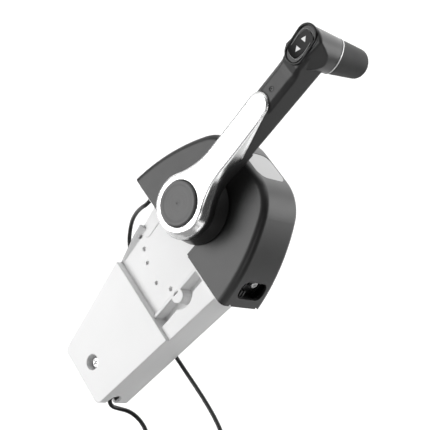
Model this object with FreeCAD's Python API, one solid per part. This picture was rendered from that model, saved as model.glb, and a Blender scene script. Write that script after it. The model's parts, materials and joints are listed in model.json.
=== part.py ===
import FreeCAD, Part
import math
import os

# Boat throttle control lever, sizes in millimetres.
# The origin is the centre of the deck bolt pattern, on the deck surface.
# +Z is up, -Y faces the lever, and +X is the end with the recessed fixing screw.

V = FreeCAD.Vector
X_AXIS = V(1, 0, 0)
Y_AXIS = V(0, 1, 0)
Z_AXIS = V(0, 0, 1)
NEAR = 0.05          # clearance between pieces that are fixed to each other

# Pivot shaft
SHAFT_X = -5.0
SHAFT_Z = 40.5
SHAFT_R = 7.0
SHAFT_FRONT_Y = -48.2
SHAFT_BACK_Y = 17.5
RUNNING_CLEARANCE = 0.05

# Housing casting and its rear plate
WALL = 3.0
TOP_LEFT_X = -57.0
TOP_RIGHT_X = 63.7
BOTTOM_LEFT_X = -23.2
BOTTOM_RIGHT_X = 45.6
BOTTOM_Z = -171.3
BOTTOM_CORNER_R = 6.0
RAISED_Y = -22.0
LEDGE_Y = -18.0
RECESS_Y = -14.0
RECESS_BOTTOM_Z = -68.3
RECESS_LEFT_X = -42.0
RECESS_RIGHT_X = 29.0
RIM_HEIGHT = 6.0
RIM_SLOPE = 1.3
RIM_LEAN = 0.1
RIM_TOP_Z = -26.0
RIM_FADE = 60.0
GROOVE_WIDTH = 12.0
GROOVE_DEPTH = 13.0
REAR_INNER_Y = 12.0
REAR_T = 3.0
NECK_R = 26.5
NECK_SHOULDER_Z = 18.0
NECK_SHOULDER_LEFT_X = -54.0
NECK_SHOULDER_RIGHT_X = 60.0
NECK_TANGENT_RISE = 5.0
FRONT_BOSS_R = 14.0
FRONT_BOSS_Y = -31.5
PAD_LENGTH = 30.0
PAD_WIDTH = 11.0
PAD_RAISE = 0.4

# Holes in the recessed face: x, z and radius, in two rising rows
RECESS_HOLES = ((-46.9, -35.9, 2.4), (-33.7, -39.9, 2.1), (-20.8, -45.3, 1.8),
                (1.8, -48.9, 1.8), (18.5, -39.3, 2.1), (31.1, -35.3, 2.6))
RECESS_HOLE_DEPTH = 2.2
SCREW_BOSS_R = 7.0

# Counterbored screw low on the casting
LOW_SCREW_X = 9.9
LOW_SCREW_Z = -151.5
LOW_BORE_R = 7.5
LOW_BORE_DEPTH = 8.0
LOW_POST_R = 10.5
M5_R = 2.5
M5_HEAD_R = 5.2
M5_HEAD_T = 3.4
M4_R = 2.0
M4_HEAD_R = 3.8
M4_HEAD_T = 2.4
THREAD_GAP = 0.05
REAR_SCREW_POST_R = 5.0
REAR_SCREW_DEPTH = 12.0
REAR_SCREW_Z = (-146.0, -22.0)

# Deck flange and bolts
FLANGE_T = 2.5
FLANGE_END_GAP = 1.2
FLANGE_HALF_DEPTH = 25.5
FLANGE_CORNER_R = 6.0
FLANGE_STRIP_X = 36.5
DECK_BOLT_INSET = 5.0
DECK_BOLT_Y = 19.0
DECK_BOLT_HOLE_R = 2.75

# Cable exits through the bottom wall
CABLE_EXIT_X = (-6.0, 20.0)
CABLE_EXIT_Y = -3.0
CABLE_EXIT_R = 7.0
SEAL_BORE_R = 4.2
SEAL_LIP = 1.4
SEAL_OUT = 3.5
ANCHOR_Z = -128.0
ANCHOR_HEIGHT = 12.0
ANCHOR_T = 5.0
ANCHOR_GROOVE_R = 4.4

# Dome
DOME_LENGTH = 164.0
DOME_X = -2.8
DOME_DEPTH = 58.0
DOME_WALL = 3.0
DOME_DRAFT = 2.6
SIDE_LEAN = 6.5
SHOULDER_LEAN = 32.0
SIDE_RADIUS = 195.0
CROWN_RADIUS = 40.7
DOME_EDGE_R = 6.5
SLOT_HALF_WIDTH = 21.5
SLOT_LIP_WIDTH = 3.3
SLOT_LIP_STEP = 1.4
INSERT_HALF_X = 17.5
INSERT_HALF_Y = 19.5
INSERT_CORNER_R = 10.0
INSERT_T = 2.0
INSERT_GAP = 0.25
INSERT_SINK = 0.3
WINDOW_HALF_WIDTH = 17.3
WINDOW_Y = 1.2
WINDOW_Z = (11.3, 29.0)
WINDOW_CORNER_R = 7.0
BASE_NOTCH_Y = (-17.5, 20.0)
BASE_NOTCH_WIDTH = 4.0
BASE_NOTCH_HEIGHT = 1.6

# Brackets behind the end windows
BRACKET_HALF_WIDTH = 15.5
BRACKET_DEPTH = 14.7
BRACKET_TOP_Z = 31.5
BRACKET_GAP = 0.3
BRACKET_WALL = 1.6
BRACKET_RIBS_Y = (-8.5, -4.5)
SCREW_SEAT_DEPTH = 9.6
COVER_SCREW_Y = 4.5
COVER_SCREW_Z = 24.0

# Lever hub, arm and head
HUB_R = 31.5
HUB_SLOPE = 0.55
HUB_FACE_Y = -57.6
TRIM_BACK_Y = -49.0
NECK_HALF = 12.8
NECK_SLOPE = 0.083
FLARE_R = 80.0
TIP_RISE = 116.5
TRIM_EDGE_R = 2.2
TRIM_SWELL_RISE = 21.5
TRIM_TIP_Y = -61.2
ARM_HUB_BACK_Y = -43.0
SKIRT_FRONT_R = 31.3
SKIRT_BACK_R = 34.0
SKIRT_WALL = 2.6
SKIRT_GAP = 0.4
BARREL_R = 12.0
BARREL_BACK_Y = -33.0
ARM_EDGE_R = 1.8
HEAD_Z = 222.0
HEAD_R = 18.9
HEAD_FRONT_Y = -64.5
HEAD_EDGE_R = 2.2
HEAD_HALF_WIDTH = 11.9
HEAD_FACET = 22.7
HEAD_X = -6.6
GRIP_END_R = 13.1
GRIP_END_Y = 15.0
GRIP_END_ROUND = 4.5
GRIP_RISE = 2.4
GRIP_WALL = 3.0
SEAM_Y = -22.4
SEAM_ANGLE = 31.9
SEAM_LEAN = 7.0
SEAM_T = 1.2
TANG_R = 9.0
GRUB_Z = 175.8
GRUB_R = 1.6

# Hub button
BUTTON_HOLE_R = 20.6
BUTTON_R = 20.2
BUTTON_FRONT_Y = -59.6
BUTTON_FACE_T = 2.0
BUTTON_WALL = 2.0
BUTTON_BACK_Y = -54.0
BUTTON_LIP = 1.1
BUTTON_LIP_T = 1.6
BUTTON_POCKET_R = 21.8
BUTTON_TRAVEL = 3.0
BUTTON_RING_R = (5.5, 9.0, 12.5, 16.0)
BUTTON_RING_DEPTH = 0.35
SPRING_R = 12.0
SPRING_WIRE_R = 0.8
SPRING_TURNS = 2.5

# Trim switch on the head
SWITCH_X = -7.0
SWITCH_Z = 222.2
SWITCH_TILT = 8.0
ROCKER_LENGTH = 25.4
ROCKER_WIDTH = 14.4
ROCKER_CORNER_R = 5.2
ROCKER_FRONT_Y = -66.0
ROCKER_BACK_Y = -61.5
ROCKER_PIN_Y = -63.0
ROCKER_PIN_R = 1.0
ROCKER_SWING = 7.0
BEZEL_LENGTH = 35.4
BEZEL_WIDTH = 20.6
BEZEL_CORNER_R = 9.5
BEZEL_FRONT_Y = -65.1
BEZEL_BACK_Y = -57.0
BEZEL_FLOOR_T = 1.5
ROCKER_GAP = 0.5

# Gear train inside the housing
GEAR_MODULE = 1.5
DRIVE_TEETH = 24
SHIFT_TEETH = 40
THROTTLE_TEETH = 36
PRESSURE_ANGLE = 20.0
BACKLASH = 0.25
ADDENDUM = 0.9
DEDENDUM = 1.25
GEAR_SPREAD = 15.0       # each driven axis leans this far from straight below the shaft
DRIVE_Y = (-8.5, 6.5)
SHIFT_Y = (-8.0, -3.0)
THROTTLE_Y = (1.0, 6.0)
SECTOR_HALF_ANGLE = 64.0
SECTOR_HUB_R = 8.5
SECTOR_BORE_R = 4.0
ARM_LENGTH = 34.0
ARM_WIDTH = 9.0
ARM_EYE_R = 6.0
PIVOT_BOSS_R = 7.5
CABLE_PIN_R = 2.6
PIN_REACH = 3.6
PIN_GROOVE_IN = 1.6
PIN_GROOVE_T = 0.8
PIN_GROOVE_DEPTH = 0.6

# Detent and neutral switch
DISC_R = 21.0
DISC_Y = (7.5, 10.3)
DETENT_RADIUS = 17.0
DETENT_ANGLE = 115.0
DETENT_STEP = 32.0
BALL_R = 2.5
BALL_GAP = 0.3
DIMPLE_DEPTH = 0.9
DETENT_BORE_R = 2.6
DETENT_BOSS_R = 5.0
DETENT_BOSS_CLEAR = 6.6   # from the dome's back face to the top of the detent's boss
PLUG_T = 1.2
DETENT_SPRING_R = 2.2
DETENT_WIRE_R = 0.35
DETENT_TURNS = 2.5
SWITCH_ANGLE = -30.0
PLUNGER_R = 1.3
PLUNGER_TRAVEL = 1.0
PLUNGER_OUT = 1.7
MICRO_LENGTH = 19.8
MICRO_HEIGHT = 9.0
MICRO_Y = (7.0, 12.0)
MICRO_SCREW_SPREAD = 5.0

# Bushes and shaft clip
BUSH_WALL = 2.5
BUSH_FLANGE_R = 12.0
BUSH_FLANGE_T = 1.4
CLIP_T = 1.0
CLIP_R = 9.5
CLIP_BACK_GAP = 1.0

# Leads: diameters, hand-chosen routes and coils
TRIM_LEAD_D = 4.0
TRIM_EXIT_X = -60.0
TRIM_EXIT_Y = 9.0 - DOME_DEPTH / 2
TRIM_ROUTE = ((TRIM_EXIT_X, TRIM_EXIT_Y, 5.5), (TRIM_EXIT_X, TRIM_EXIT_Y, -7.0), (-66.0, -15.5, -16.0),
              (-73.0, -8.0, -27.5), (-79.0, 1.5, -42.0), (-81.0, 11.5, -56.5),
              (-76.5, 17.6, -69.5), (-59.5, 19.4, -80.0), (-25.0, 18.6, -88.0), (5.0, 18.6, -92.0), (35.0, 18.6, -94.6), (65.0, 18.6, -94.2),
              (98.0, 18.6, -93.0), (128.0, 18.6, -93.7), (150.0, 18.6, -98.5), (164.5, 18.6, -107.5),
              (172.0, 18.6, -118.5))
TRIM_COIL_AT = (150.0, 18.6, -151.0)
SWITCH_LEAD_D = 4.2
SWITCH_ROUTE = ((40.5, -7.5, -153.0), (41.0, -7.5, -166.3), (44.0, 0.5, -175.0), (46.0, 12.0, -176.0),
                (49.5, 21.5, -175.0), (56.5, 27.3, -174.4), (65.5, 30.2, -174.4), (76.0, 31.0, -176.2),
                (86.0, 31.0, -179.8), (94.5, 31.0, -185.6), (100.0, 31.0, -192.8))
SWITCH_COIL_AT = (80.0, 31.0, -219.0)
TRIM_COIL_R = 25.0
SWITCH_COIL_R = 22.0
COIL_TURNS_WIDE = 2.2
COIL_GAP = 0.3
PLUG_LENGTH = 24.0
PLUG_R = 6.0
TAIL_LENGTH = 16.0
LEAD_CLIP_RUNS = (8, 9)
LEAD_CLIP_WIDTH = 7.0
LEAD_CLIP_T = 1.2
GLAND_R = 3.8
GLAND_FLANGE_R = 4.8
GLAND_OUT = 1.8
NOTCH_Y = -5.5
NOTCH_R = 7.5
NOTCH_RISE = 6.8
LEAD_LUG_WIDTH = 7.0
LEAD_LUG_HEIGHT = 4.0


def box(x, y, z):
    """A block from three (low, high) pairs."""
    return Part.makeBox(x[1] - x[0], y[1] - y[0], z[1] - z[0], V(x[0], y[0], z[0]))


def rod(radius, y, x=0.0, z=0.0):
    """A round bar along Y between two levels, at x and z."""
    return Part.makeCylinder(radius, y[1] - y[0], V(x, y[0], z), Y_AXIS)


def at_shaft(radius, y):
    return rod(radius, y, SHAFT_X, SHAFT_Z)


def tube(outer, inner, y, x=0.0, z=0.0):
    """A ring along Y between two levels."""
    return rod(outer, y, x, z).cut(rod(inner, (y[0] - 1, y[1] + 1), x, z))


def turned(profile, x, z):
    """Revolve (radius, y) points about the line along Y through x and z."""
    points = [V(r, y, 0) for r, y in profile]
    face = Part.Face(Part.makePolygon(points + points[:1]))
    solid = face.revolve(V(0, 0, 0), Y_AXIS, 360)
    solid.translate(V(x, 0, z))
    return solid


def prism(points, y):
    """Extrude a closed (x, z) polygon along Y."""
    corners = [V(px, y[0], pz) for px, pz in points]
    face = Part.Face(Part.makePolygon(corners + corners[:1]))
    return face.extrude(V(0, y[1] - y[0], 0))


def slab(wire, y):
    """Extrude a closed wire that lies in the plane y = 0."""
    solid = Part.Face(wire).extrude(V(0, y[1] - y[0], 0))
    solid.translate(V(0, y[0], 0))
    return solid


def arc(a, b, c):
    return Part.Arc(a, b, c).toShape()


def line(a, b):
    return Part.LineSegment(a, b).toShape()


def rounded_plate(length, width, corner, low, high):
    """A plate with round corners: length along Z, width along X, extruded along Y."""
    plate = box((-width / 2, width / 2), (low, high), (-length / 2, length / 2))
    edges = [e for e in plate.Edges if abs(e.tangentAt(e.FirstParameter).y) > 0.9]
    return plate.makeFillet(corner, edges)


def polar(radius, degrees, x=SHAFT_X, z=SHAFT_Z):
    """The (x, z) place at an angle above +X round a centre."""
    a = math.radians(degrees)
    return x + radius * math.cos(a), z + radius * math.sin(a)


def turn_y(shape, degrees, x, z):
    """Turn a copy about the line along Y through x and z, from +X towards +Z."""
    copy = shape.copy()
    copy.rotate(V(x, 0, z), Y_AXIS, -degrees)
    return copy


def fuse(shapes):
    return shapes[0].multiFuse(shapes[1:]).removeSplitter() if len(shapes) > 1 else shapes[0]


def pan_screw(radius, head_r, head_t, length, seat, direction):
    """A cross-recess pan head screw: seat is under the head, direction is where it points."""
    shank = Part.makeCylinder(radius, length, seat, direction)
    back = direction * -1
    head = Part.makeCylinder(head_r, head_t, seat, back)
    rim = [e for e in head.Edges if (e.CenterOfMass - seat).dot(back) > head_t * 0.9]
    head = head.makeFillet(head_t * 0.45, rim)
    screw = head.fuse(shank)
    side = direction.cross(Z_AXIS) if abs(direction.z) < 0.9 else X_AXIS
    up = direction.cross(side)
    reach = head_r * 1.2
    thick = head_r * 0.24
    for a, b in ((side, up), (up, side)):
        slot = Part.makeBox(reach, thick, head_t)
        slot.translate(V(-reach / 2, -thick / 2, 0))
        frame = FreeCAD.Matrix(a.x, b.x, back.x, seat.x, a.y, b.y, back.y, seat.y,
                               a.z, b.z, back.z, seat.z, 0, 0, 0, 1)
        slot = slot.transformGeometry(frame)
        slot.translate(back * head_t * 0.5)
        screw = screw.cut(slot)
    return screw


def body_outline():
    """The housing seen from the lever side: trapezoid below deck, round-topped neck above it."""
    tangent_z = SHAFT_Z + NECK_TANGENT_RISE
    reach = math.sqrt(NECK_R ** 2 - NECK_TANGENT_RISE ** 2)
    points = [V(BOTTOM_LEFT_X, 0, BOTTOM_Z), V(BOTTOM_RIGHT_X, 0, BOTTOM_Z), V(TOP_RIGHT_X, 0, 0),
              V(NECK_SHOULDER_RIGHT_X, 0, NECK_SHOULDER_Z), V(SHAFT_X + reach, 0, tangent_z)]
    left = [V(SHAFT_X - reach, 0, tangent_z), V(NECK_SHOULDER_LEFT_X, 0, NECK_SHOULDER_Z),
            V(TOP_LEFT_X, 0, 0), points[0]]
    edges = [line(a, b) for a, b in zip(points, points[1:])]
    edges.append(arc(points[-1], V(SHAFT_X, 0, SHAFT_Z + NECK_R), left[0]))
    edges += [line(a, b) for a, b in zip(left, left[1:])]
    return Part.Wire(edges)


def inner_outline(inset):
    return Part.Face(body_outline()).makeOffset2D(-inset).OuterWire


def round_bottom(solid):
    """Round the two bottom corners seen from the lever side."""
    corners = []
    for e in solid.Edges:
        along = e.tangentAt(e.FirstParameter)
        middle = e.CenterOfMass
        outer = min(abs(middle.x - BOTTOM_LEFT_X), abs(middle.x - BOTTOM_RIGHT_X)) < 0.1
        if abs(along.y) > 0.9 and abs(middle.z - BOTTOM_Z) < 0.1 and outer:
            corners.append(e)
    return solid.makeFillet(BOTTOM_CORNER_R, corners)


def left_edge_x(z):
    """Where the housing's left wall stands at a height below deck."""
    return TOP_LEFT_X + (BOTTOM_LEFT_X - TOP_LEFT_X) * z / BOTTOM_Z


def right_edge_x(z):
    return TOP_RIGHT_X + (BOTTOM_RIGHT_X - TOP_RIGHT_X) * z / BOTTOM_Z


def recess_face_cut():
    """What is taken off the raised face to leave the recess, the ledge and the neck."""
    top = SHAFT_Z + NECK_R + WALL
    left = TOP_LEFT_X - WALL
    right = TOP_RIGHT_X + WALL
    recess = box((left, RECESS_RIGHT_X), (RAISED_Y - 1, RECESS_Y), (RECESS_BOTTOM_Z, top))
    ledge = box((RECESS_RIGHT_X - 1, right), (RAISED_Y - 1, LEDGE_Y), (RECESS_BOTTOM_Z, top))
    neck = box((left, right), (RAISED_Y - 1, RECESS_Y), (FLANGE_T, top))
    return [recess, ledge, neck]


def left_rim():
    """Sloped rim along the recess's left side, widening upwards and fading out near the pad."""
    height = RIM_TOP_Z - RECESS_BOTTOM_Z
    width = RIM_HEIGHT / RIM_SLOPE
    section = Part.makePolygon([V(0, RECESS_Y + 1, 0), V(0, RECESS_Y, 0), V(-width, RECESS_Y - RIM_HEIGHT, 0),
                                V(-width * 3, RECESS_Y - RIM_HEIGHT, 0), V(-width * 3, RECESS_Y + 1, 0),
                                V(0, RECESS_Y + 1, 0)])
    rim = Part.Face(section).extrude(V(-RIM_LEAN * height, 0, height))
    rim.translate(V(RECESS_LEFT_X, 0, RECESS_BOTTOM_Z))
    fade = box((-200, 200), (RAISED_Y - 5, RECESS_Y - 0.01), (0, 60))
    fade.rotate(V(0, RECESS_Y, 0), X_AXIS, -RIM_FADE)
    fade.translate(V(0, 0, RIM_TOP_Z))
    return rim.cut(fade).common(slab(body_outline(), (RAISED_Y, RECESS_Y + 1)))


def groove(widen, low_y, high_y):
    """The groove beside the recess, bulging round the last boss."""
    boss_x, boss_z = RECESS_HOLES[-1][:2]
    straight = box((RECESS_RIGHT_X - widen, RECESS_RIGHT_X + GROOVE_WIDTH + widen), (low_y, high_y),
                   (RECESS_BOTTOM_Z - widen, -FLANGE_T * 2 + widen))
    reach = SCREW_BOSS_R + GROOVE_WIDTH * 0.7
    bulge = rod(reach + widen, (low_y, high_y), boss_x, boss_z + 4)
    bulge = bulge.common(box((RECESS_RIGHT_X, right_edge_x(boss_z) - WALL), (low_y, high_y), (-60, 0)))
    shape = straight.fuse(bulge)
    return shape.cut(rod(SCREW_BOSS_R - widen, (low_y - 1, high_y + 1), boss_x, boss_z))


def flange():
    """The two end plates of the deck flange and the near strip between them."""
    ends_x = [side * (dome_end(side) - DOME_WALL - FLANGE_END_GAP) for side in (-1, 1)]
    full = box(ends_x, (-FLANGE_HALF_DEPTH, FLANGE_HALF_DEPTH), (0, FLANGE_T))
    corners = [e for e in full.Edges if abs(e.tangentAt(e.FirstParameter).z) > 0.9]
    full = full.makeFillet(FLANGE_CORNER_R, corners)
    inside = WALL
    middle = box((TOP_LEFT_X + inside, TOP_RIGHT_X - inside), (-FLANGE_HALF_DEPTH - 1, FLANGE_HALF_DEPTH + 1),
                 (-1, FLANGE_T + 1))
    ends = full.cut(middle)
    strip = full.common(box((FLANGE_STRIP_X, TOP_RIGHT_X), (-FLANGE_HALF_DEPTH, LEDGE_Y + 1), (0, FLANGE_T)))
    return [ends, strip]


def deck_bolt_x():
    return dome_end(1) - DOME_WALL - FLANGE_END_GAP - DECK_BOLT_INSET


def rear_screw_places():
    """Where the rear plate is screwed to the casting: against the side walls, low and just below deck."""
    inset = WALL + REAR_SCREW_POST_R - 2.0
    return [(edge_x(pz) + side * inset, pz) for pz in REAR_SCREW_Z
            for edge_x, side in ((left_edge_x, 1), (right_edge_x, -1))]


def shift_axis():
    distance = GEAR_MODULE * (DRIVE_TEETH + SHIFT_TEETH) / 2
    return polar(distance, -90 - GEAR_SPREAD)


def throttle_axis():
    distance = GEAR_MODULE * (DRIVE_TEETH + THROTTLE_TEETH) / 2
    return polar(distance, -90 + GEAR_SPREAD)


def housing_body():
    """Die-cast shell: face, side walls, neck, deck flange, posts and the front bush boss."""
    shell = round_bottom(slab(body_outline(), (RAISED_Y, REAR_INNER_Y)))
    for piece in recess_face_cut():
        shell = shell.cut(piece)
    hollow_low = slab(inner_outline(WALL), (RAISED_Y + WALL, REAR_INNER_Y + 1))
    top = SHAFT_Z + NECK_R + 5
    above = box((TOP_LEFT_X - 5, TOP_RIGHT_X + 5), (RAISED_Y, RECESS_Y + WALL), (RECESS_BOTTOM_Z - WALL, top))
    shell = shell.cut(hollow_low.cut(above))
    lining = groove(WALL, LEDGE_Y, LEDGE_Y + GROOVE_DEPTH + WALL)
    lining = lining.common(slab(inner_outline(0.5), (RAISED_Y, REAR_INNER_Y)))
    shell = shell.fuse(lining).cut(groove(0.0, RAISED_Y, LEDGE_Y + GROOVE_DEPTH))
    extras = flange() + [left_rim()]
    extras.append(at_shaft(FRONT_BOSS_R, (FRONT_BOSS_Y, RECESS_Y + 1)))
    sx, sz = shift_axis()
    extras.append(rod(PIVOT_BOSS_R, (RECESS_Y + 1, SHIFT_Y[0] - 0.3), sx, sz))
    post = rod(LOW_POST_R, (RAISED_Y + 1, REAR_INNER_Y), LOW_SCREW_X, LOW_SCREW_Z)
    extras.append(post)
    for px, pz in rear_screw_places():
        extras.append(rod(REAR_SCREW_POST_R, (REAR_INNER_Y - REAR_SCREW_DEPTH - 3, REAR_INNER_Y), px, pz)
                      .common(slab(inner_outline(0.5), (RAISED_Y, REAR_INNER_Y))))
    extras += [boss_pad(), lead_lug()]
    shell = fuse([shell] + extras)
    for cutter in housing_holes():
        shell = shell.cut(cutter)
    return shell


def lead_lug():
    """Lug on the right wall's inside that the top of the switch lead meets."""
    lx, ly, lz = SWITCH_ROUTE[0]
    half = LEAD_LUG_WIDTH / 2
    lug = box((lx - half, TOP_RIGHT_X), (ly - half, ly + half), (lz, lz + LEAD_LUG_HEIGHT))
    return lug.common(slab(inner_outline(0.5), (RAISED_Y, REAR_INNER_Y)))


def boss_pad():
    """The faint long oval raised on the upper left of the recessed face."""
    pad = rounded_plate(PAD_LENGTH, PAD_WIDTH, PAD_WIDTH * 0.48, -PAD_RAISE, WALL * 0.5)
    pad.rotate(V(0, 0, 0), Y_AXIS, -6)
    pad.translate(V(left_edge_x(-17) + PAD_WIDTH * 0.5 + 3, RECESS_Y, -17))
    return pad


def housing_holes():
    """Every hole and notch cut in the casting."""
    cuts = [at_shaft(SHAFT_R + BUSH_WALL + NEAR, (FRONT_BOSS_Y - 1, RECESS_Y + WALL + 1))]
    for hx, hz, hr in RECESS_HOLES:
        cuts.append(rod(hr, (RECESS_Y - 1, RECESS_Y + RECESS_HOLE_DEPTH), hx, hz))
    cuts.append(rod(LOW_BORE_R, (RAISED_Y - 1, RAISED_Y + LOW_BORE_DEPTH), LOW_SCREW_X, LOW_SCREW_Z))
    cuts.append(rod(M5_R + THREAD_GAP, (RAISED_Y, REAR_INNER_Y + 1), LOW_SCREW_X, LOW_SCREW_Z))
    for px, pz in rear_screw_places():
        cuts.append(rod(M4_R + THREAD_GAP, (REAR_INNER_Y - REAR_SCREW_DEPTH, REAR_INNER_Y + 1), px, pz))
    for side in (-1, 1):
        for by in (-DECK_BOLT_Y, DECK_BOLT_Y):
            cuts.append(Part.makeCylinder(DECK_BOLT_HOLE_R, FLANGE_T + 2, V(side * deck_bolt_x(), by, -1)))
        cuts.append(Part.makeCylinder(M4_R + THREAD_GAP, FLANGE_T + 2, V(side * (bracket_back(side) + 5), 0, -1)))
    for ex in CABLE_EXIT_X:
        cuts.append(Part.makeCylinder(CABLE_EXIT_R, WALL + 2, V(ex, CABLE_EXIT_Y, BOTTOM_Z - 1)))
    sx, sz = shift_axis()
    cuts.append(rod(SECTOR_BORE_R - RUNNING_CLEARANCE + NEAR, (RECESS_Y + 1, SHIFT_Y[0]), sx, sz))
    gx, gy = TRIM_ROUTE[0][:2]
    cuts.append(Part.makeCylinder(GLAND_R, FLANGE_T + 2, V(gx, gy, -1)))
    notch_x = BOTTOM_RIGHT_X - BOTTOM_CORNER_R - WALL
    notch_z = BOTTOM_Z + NOTCH_RISE
    cuts.append(Part.makeCylinder(NOTCH_R, 30, V(notch_x, NOTCH_Y, notch_z), X_AXIS))
    cuts.append(box((notch_x, notch_x + 30), (NOTCH_Y - NOTCH_R, NOTCH_Y + NOTCH_R), (BOTTOM_Z - 1, notch_z)))
    return cuts


def rear_plate():
    """Closes the casting from behind and carries the rear bush, throttle pivot and detent."""
    plate = round_bottom(slab(body_outline(), (REAR_INNER_Y, REAR_INNER_Y + REAR_T)))
    lip_x = (TOP_LEFT_X + WALL + 0.3, TOP_RIGHT_X - WALL - 0.3)
    lip = box(lip_x, (REAR_INNER_Y + 1, FLANGE_HALF_DEPTH), (0, FLANGE_T))
    keep_out = flange()[0]
    tx, tz = throttle_axis()
    dx, dz = polar(DETENT_RADIUS, DETENT_ANGLE)
    plate = plate.cut(keep_out)
    parts = [plate, lip, rod(PIVOT_BOSS_R, (THROTTLE_Y[1] + 0.3, REAR_INNER_Y + 1), tx, tz),
             rod(DETENT_BOSS_R, (REAR_INNER_Y, detent_boss_y()), dx, dz)]
    plate = fuse(parts)
    cuts = [at_shaft(SHAFT_R + BUSH_WALL + NEAR, (0, 30)),
            rod(DETENT_BORE_R, (0, 30), dx, dz),
            rod(SECTOR_BORE_R - RUNNING_CLEARANCE + NEAR, (THROTTLE_Y[1], 30), tx, tz),
            rod(M5_R + THREAD_GAP, (0, 30), LOW_SCREW_X, LOW_SCREW_Z)]
    for px, pz in rear_screw_places():
        cuts.append(rod(M4_R + 0.2, (0, 30), px, pz))
    for px, pz in clip_screw_places():
        cuts.append(rod(M4_R + THREAD_GAP, (0, 30), px, pz))
    for spread in (-MICRO_SCREW_SPREAD, MICRO_SCREW_SPREAD):
        mx, mz = micro_screw_place(spread)
        cuts.append(rod(1.1, (0, 30), mx, mz))
    for cutter in cuts:
        plate = plate.cut(cutter)
    return plate


def clip_screw_rise():
    return TRIM_LEAD_D / 2 + 0.3 + LEAD_CLIP_T + M4_HEAD_R + 0.4


def clip_places():
    """Middle of each clipped run of the trim lead, and how steeply the run falls, as (x, z, degrees)."""
    places = []
    for k in LEAD_CLIP_RUNS:
        a = TRIM_ROUTE[k]
        b = TRIM_ROUTE[k + 1]
        fall = math.degrees(math.atan2(a[2] - b[2], b[0] - a[0]))
        places.append(((a[0] + b[0]) / 2, (a[2] + b[2]) / 2, fall))
    return places


def clip_screw_places():
    """Where the clips' screws stand above the lead, as (x, z)."""
    return [(px + clip_screw_rise() * math.sin(math.radians(fall)),
             pz + clip_screw_rise() * math.cos(math.radians(fall))) for px, pz, fall in clip_places()]


def front_bush():
    """Flanged plain bush in the casting's front boss."""
    body = at_shaft(SHAFT_R + BUSH_WALL, (FRONT_BOSS_Y, RECESS_Y + WALL))
    collar = at_shaft(BUSH_FLANGE_R, (RECESS_Y + WALL, RECESS_Y + WALL + BUSH_FLANGE_T))
    return body.fuse(collar).cut(at_shaft(SHAFT_R + RUNNING_CLEARANCE, (-60, 30)))


def rear_bush():
    body = at_shaft(SHAFT_R + BUSH_WALL, (REAR_INNER_Y, REAR_INNER_Y + REAR_T))
    collar = at_shaft(BUSH_FLANGE_R, (REAR_INNER_Y - BUSH_FLANGE_T, REAR_INNER_Y))
    return body.fuse(collar).cut(at_shaft(SHAFT_R + RUNNING_CLEARANCE, (-60, 30)))


def dome_half_profile(inset):
    """Corner points and arc middles of the dome's +X side, base to crown, at an inset."""
    lean = math.radians(SIDE_LEAN)
    knee = math.radians(SHOULDER_LEAN)
    half_turn = math.radians(90)

    def normal(angle):
        return V(math.cos(angle), 0, math.sin(angle))

    side_centre = V(DOME_LENGTH / 2, 0, FLANGE_T) - normal(lean) * SIDE_RADIUS
    crown_centre = side_centre + normal(knee) * (SIDE_RADIUS - CROWN_RADIUS)
    side_r = SIDE_RADIUS - inset
    crown_r = CROWN_RADIUS - inset
    foot = math.asin((FLANGE_T - (1.0 if inset else 0.0) - side_centre.z) / side_r)
    return {"foot": side_centre + normal(foot) * side_r,
            "side_mid": side_centre + normal((foot + knee) / 2) * side_r,
            "knee": side_centre + normal(knee) * side_r,
            "crown_mid": crown_centre + normal((knee + half_turn) / 2) * crown_r,
            "crown": crown_centre + normal(half_turn) * crown_r}


def mirror_x(p):
    return V(-p.x, p.y, p.z)


def dome_top_z():
    return dome_half_profile(0)["crown"].z


def dome_block(inset, edge_r):
    """The dome as a solid block, drafted front and back, with its long edges rounded."""
    p = dome_half_profile(inset)
    m = {k: mirror_x(q) for k, q in p.items()}
    wire = Part.Wire([line(m["foot"], p["foot"]), arc(p["foot"], p["side_mid"], p["knee"]),
                      arc(p["knee"], p["crown_mid"], p["crown"]), line(p["crown"], m["crown"]),
                      arc(m["crown"], m["crown_mid"], m["knee"]), arc(m["knee"], m["side_mid"], m["foot"])])
    side_view = slab(wire, (-DOME_DEPTH, DOME_DEPTH))
    low = p["foot"].z
    high = DOME_LENGTH
    slope = math.tan(math.radians(DOME_DRAFT))
    half = DOME_DEPTH / 2 - inset
    low_y = half - slope * (low - FLANGE_T)
    high_y = half - slope * (high - FLANGE_T)
    end_view = Part.Face(Part.makePolygon([V(-DOME_LENGTH, -low_y, low), V(-DOME_LENGTH, low_y, low),
                                           V(-DOME_LENGTH, high_y, high), V(-DOME_LENGTH, -high_y, high),
                                           V(-DOME_LENGTH, -low_y, low)]))
    block = side_view.common(end_view.extrude(V(2 * DOME_LENGTH, 0, 0)))
    flat = [f for f in block.Faces if abs(f.normalAt(0, 0).y) > 0.9]
    rim = [e for f in flat for e in f.Edges if e.BoundBox.ZMax - low > 1.0]
    block = block.makeFillet(edge_r, rim)
    block.translate(V(DOME_X, 0, 0))
    return block


def insert_prism(shrink, low, high):
    """The top insert's outline as an upright prism with round corners."""
    half_x = INSERT_HALF_X - shrink
    half_y = INSERT_HALF_Y - shrink
    plate = box((-half_x, half_x), (-half_y, half_y), (low, high))
    corners = [e for e in plate.Edges if abs(e.tangentAt(e.FirstParameter).z) > 0.9]
    return plate.makeFillet(INSERT_CORNER_R - shrink, corners)


def window_prism(low_x, high_x, grow=0.0):
    """The end window's rounded slot as a prism along X."""
    height = WINDOW_Z[1] - WINDOW_Z[0] + 2 * grow
    half = WINDOW_HALF_WIDTH + grow
    plate = box((low_x, high_x), (WINDOW_Y - half, WINDOW_Y + half), (WINDOW_Z[0] - grow, WINDOW_Z[0] - grow + height))
    corners = [e for e in plate.Edges if abs(e.tangentAt(e.FirstParameter).x) > 0.9]
    return plate.makeFillet(WINDOW_CORNER_R + grow, corners)


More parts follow.
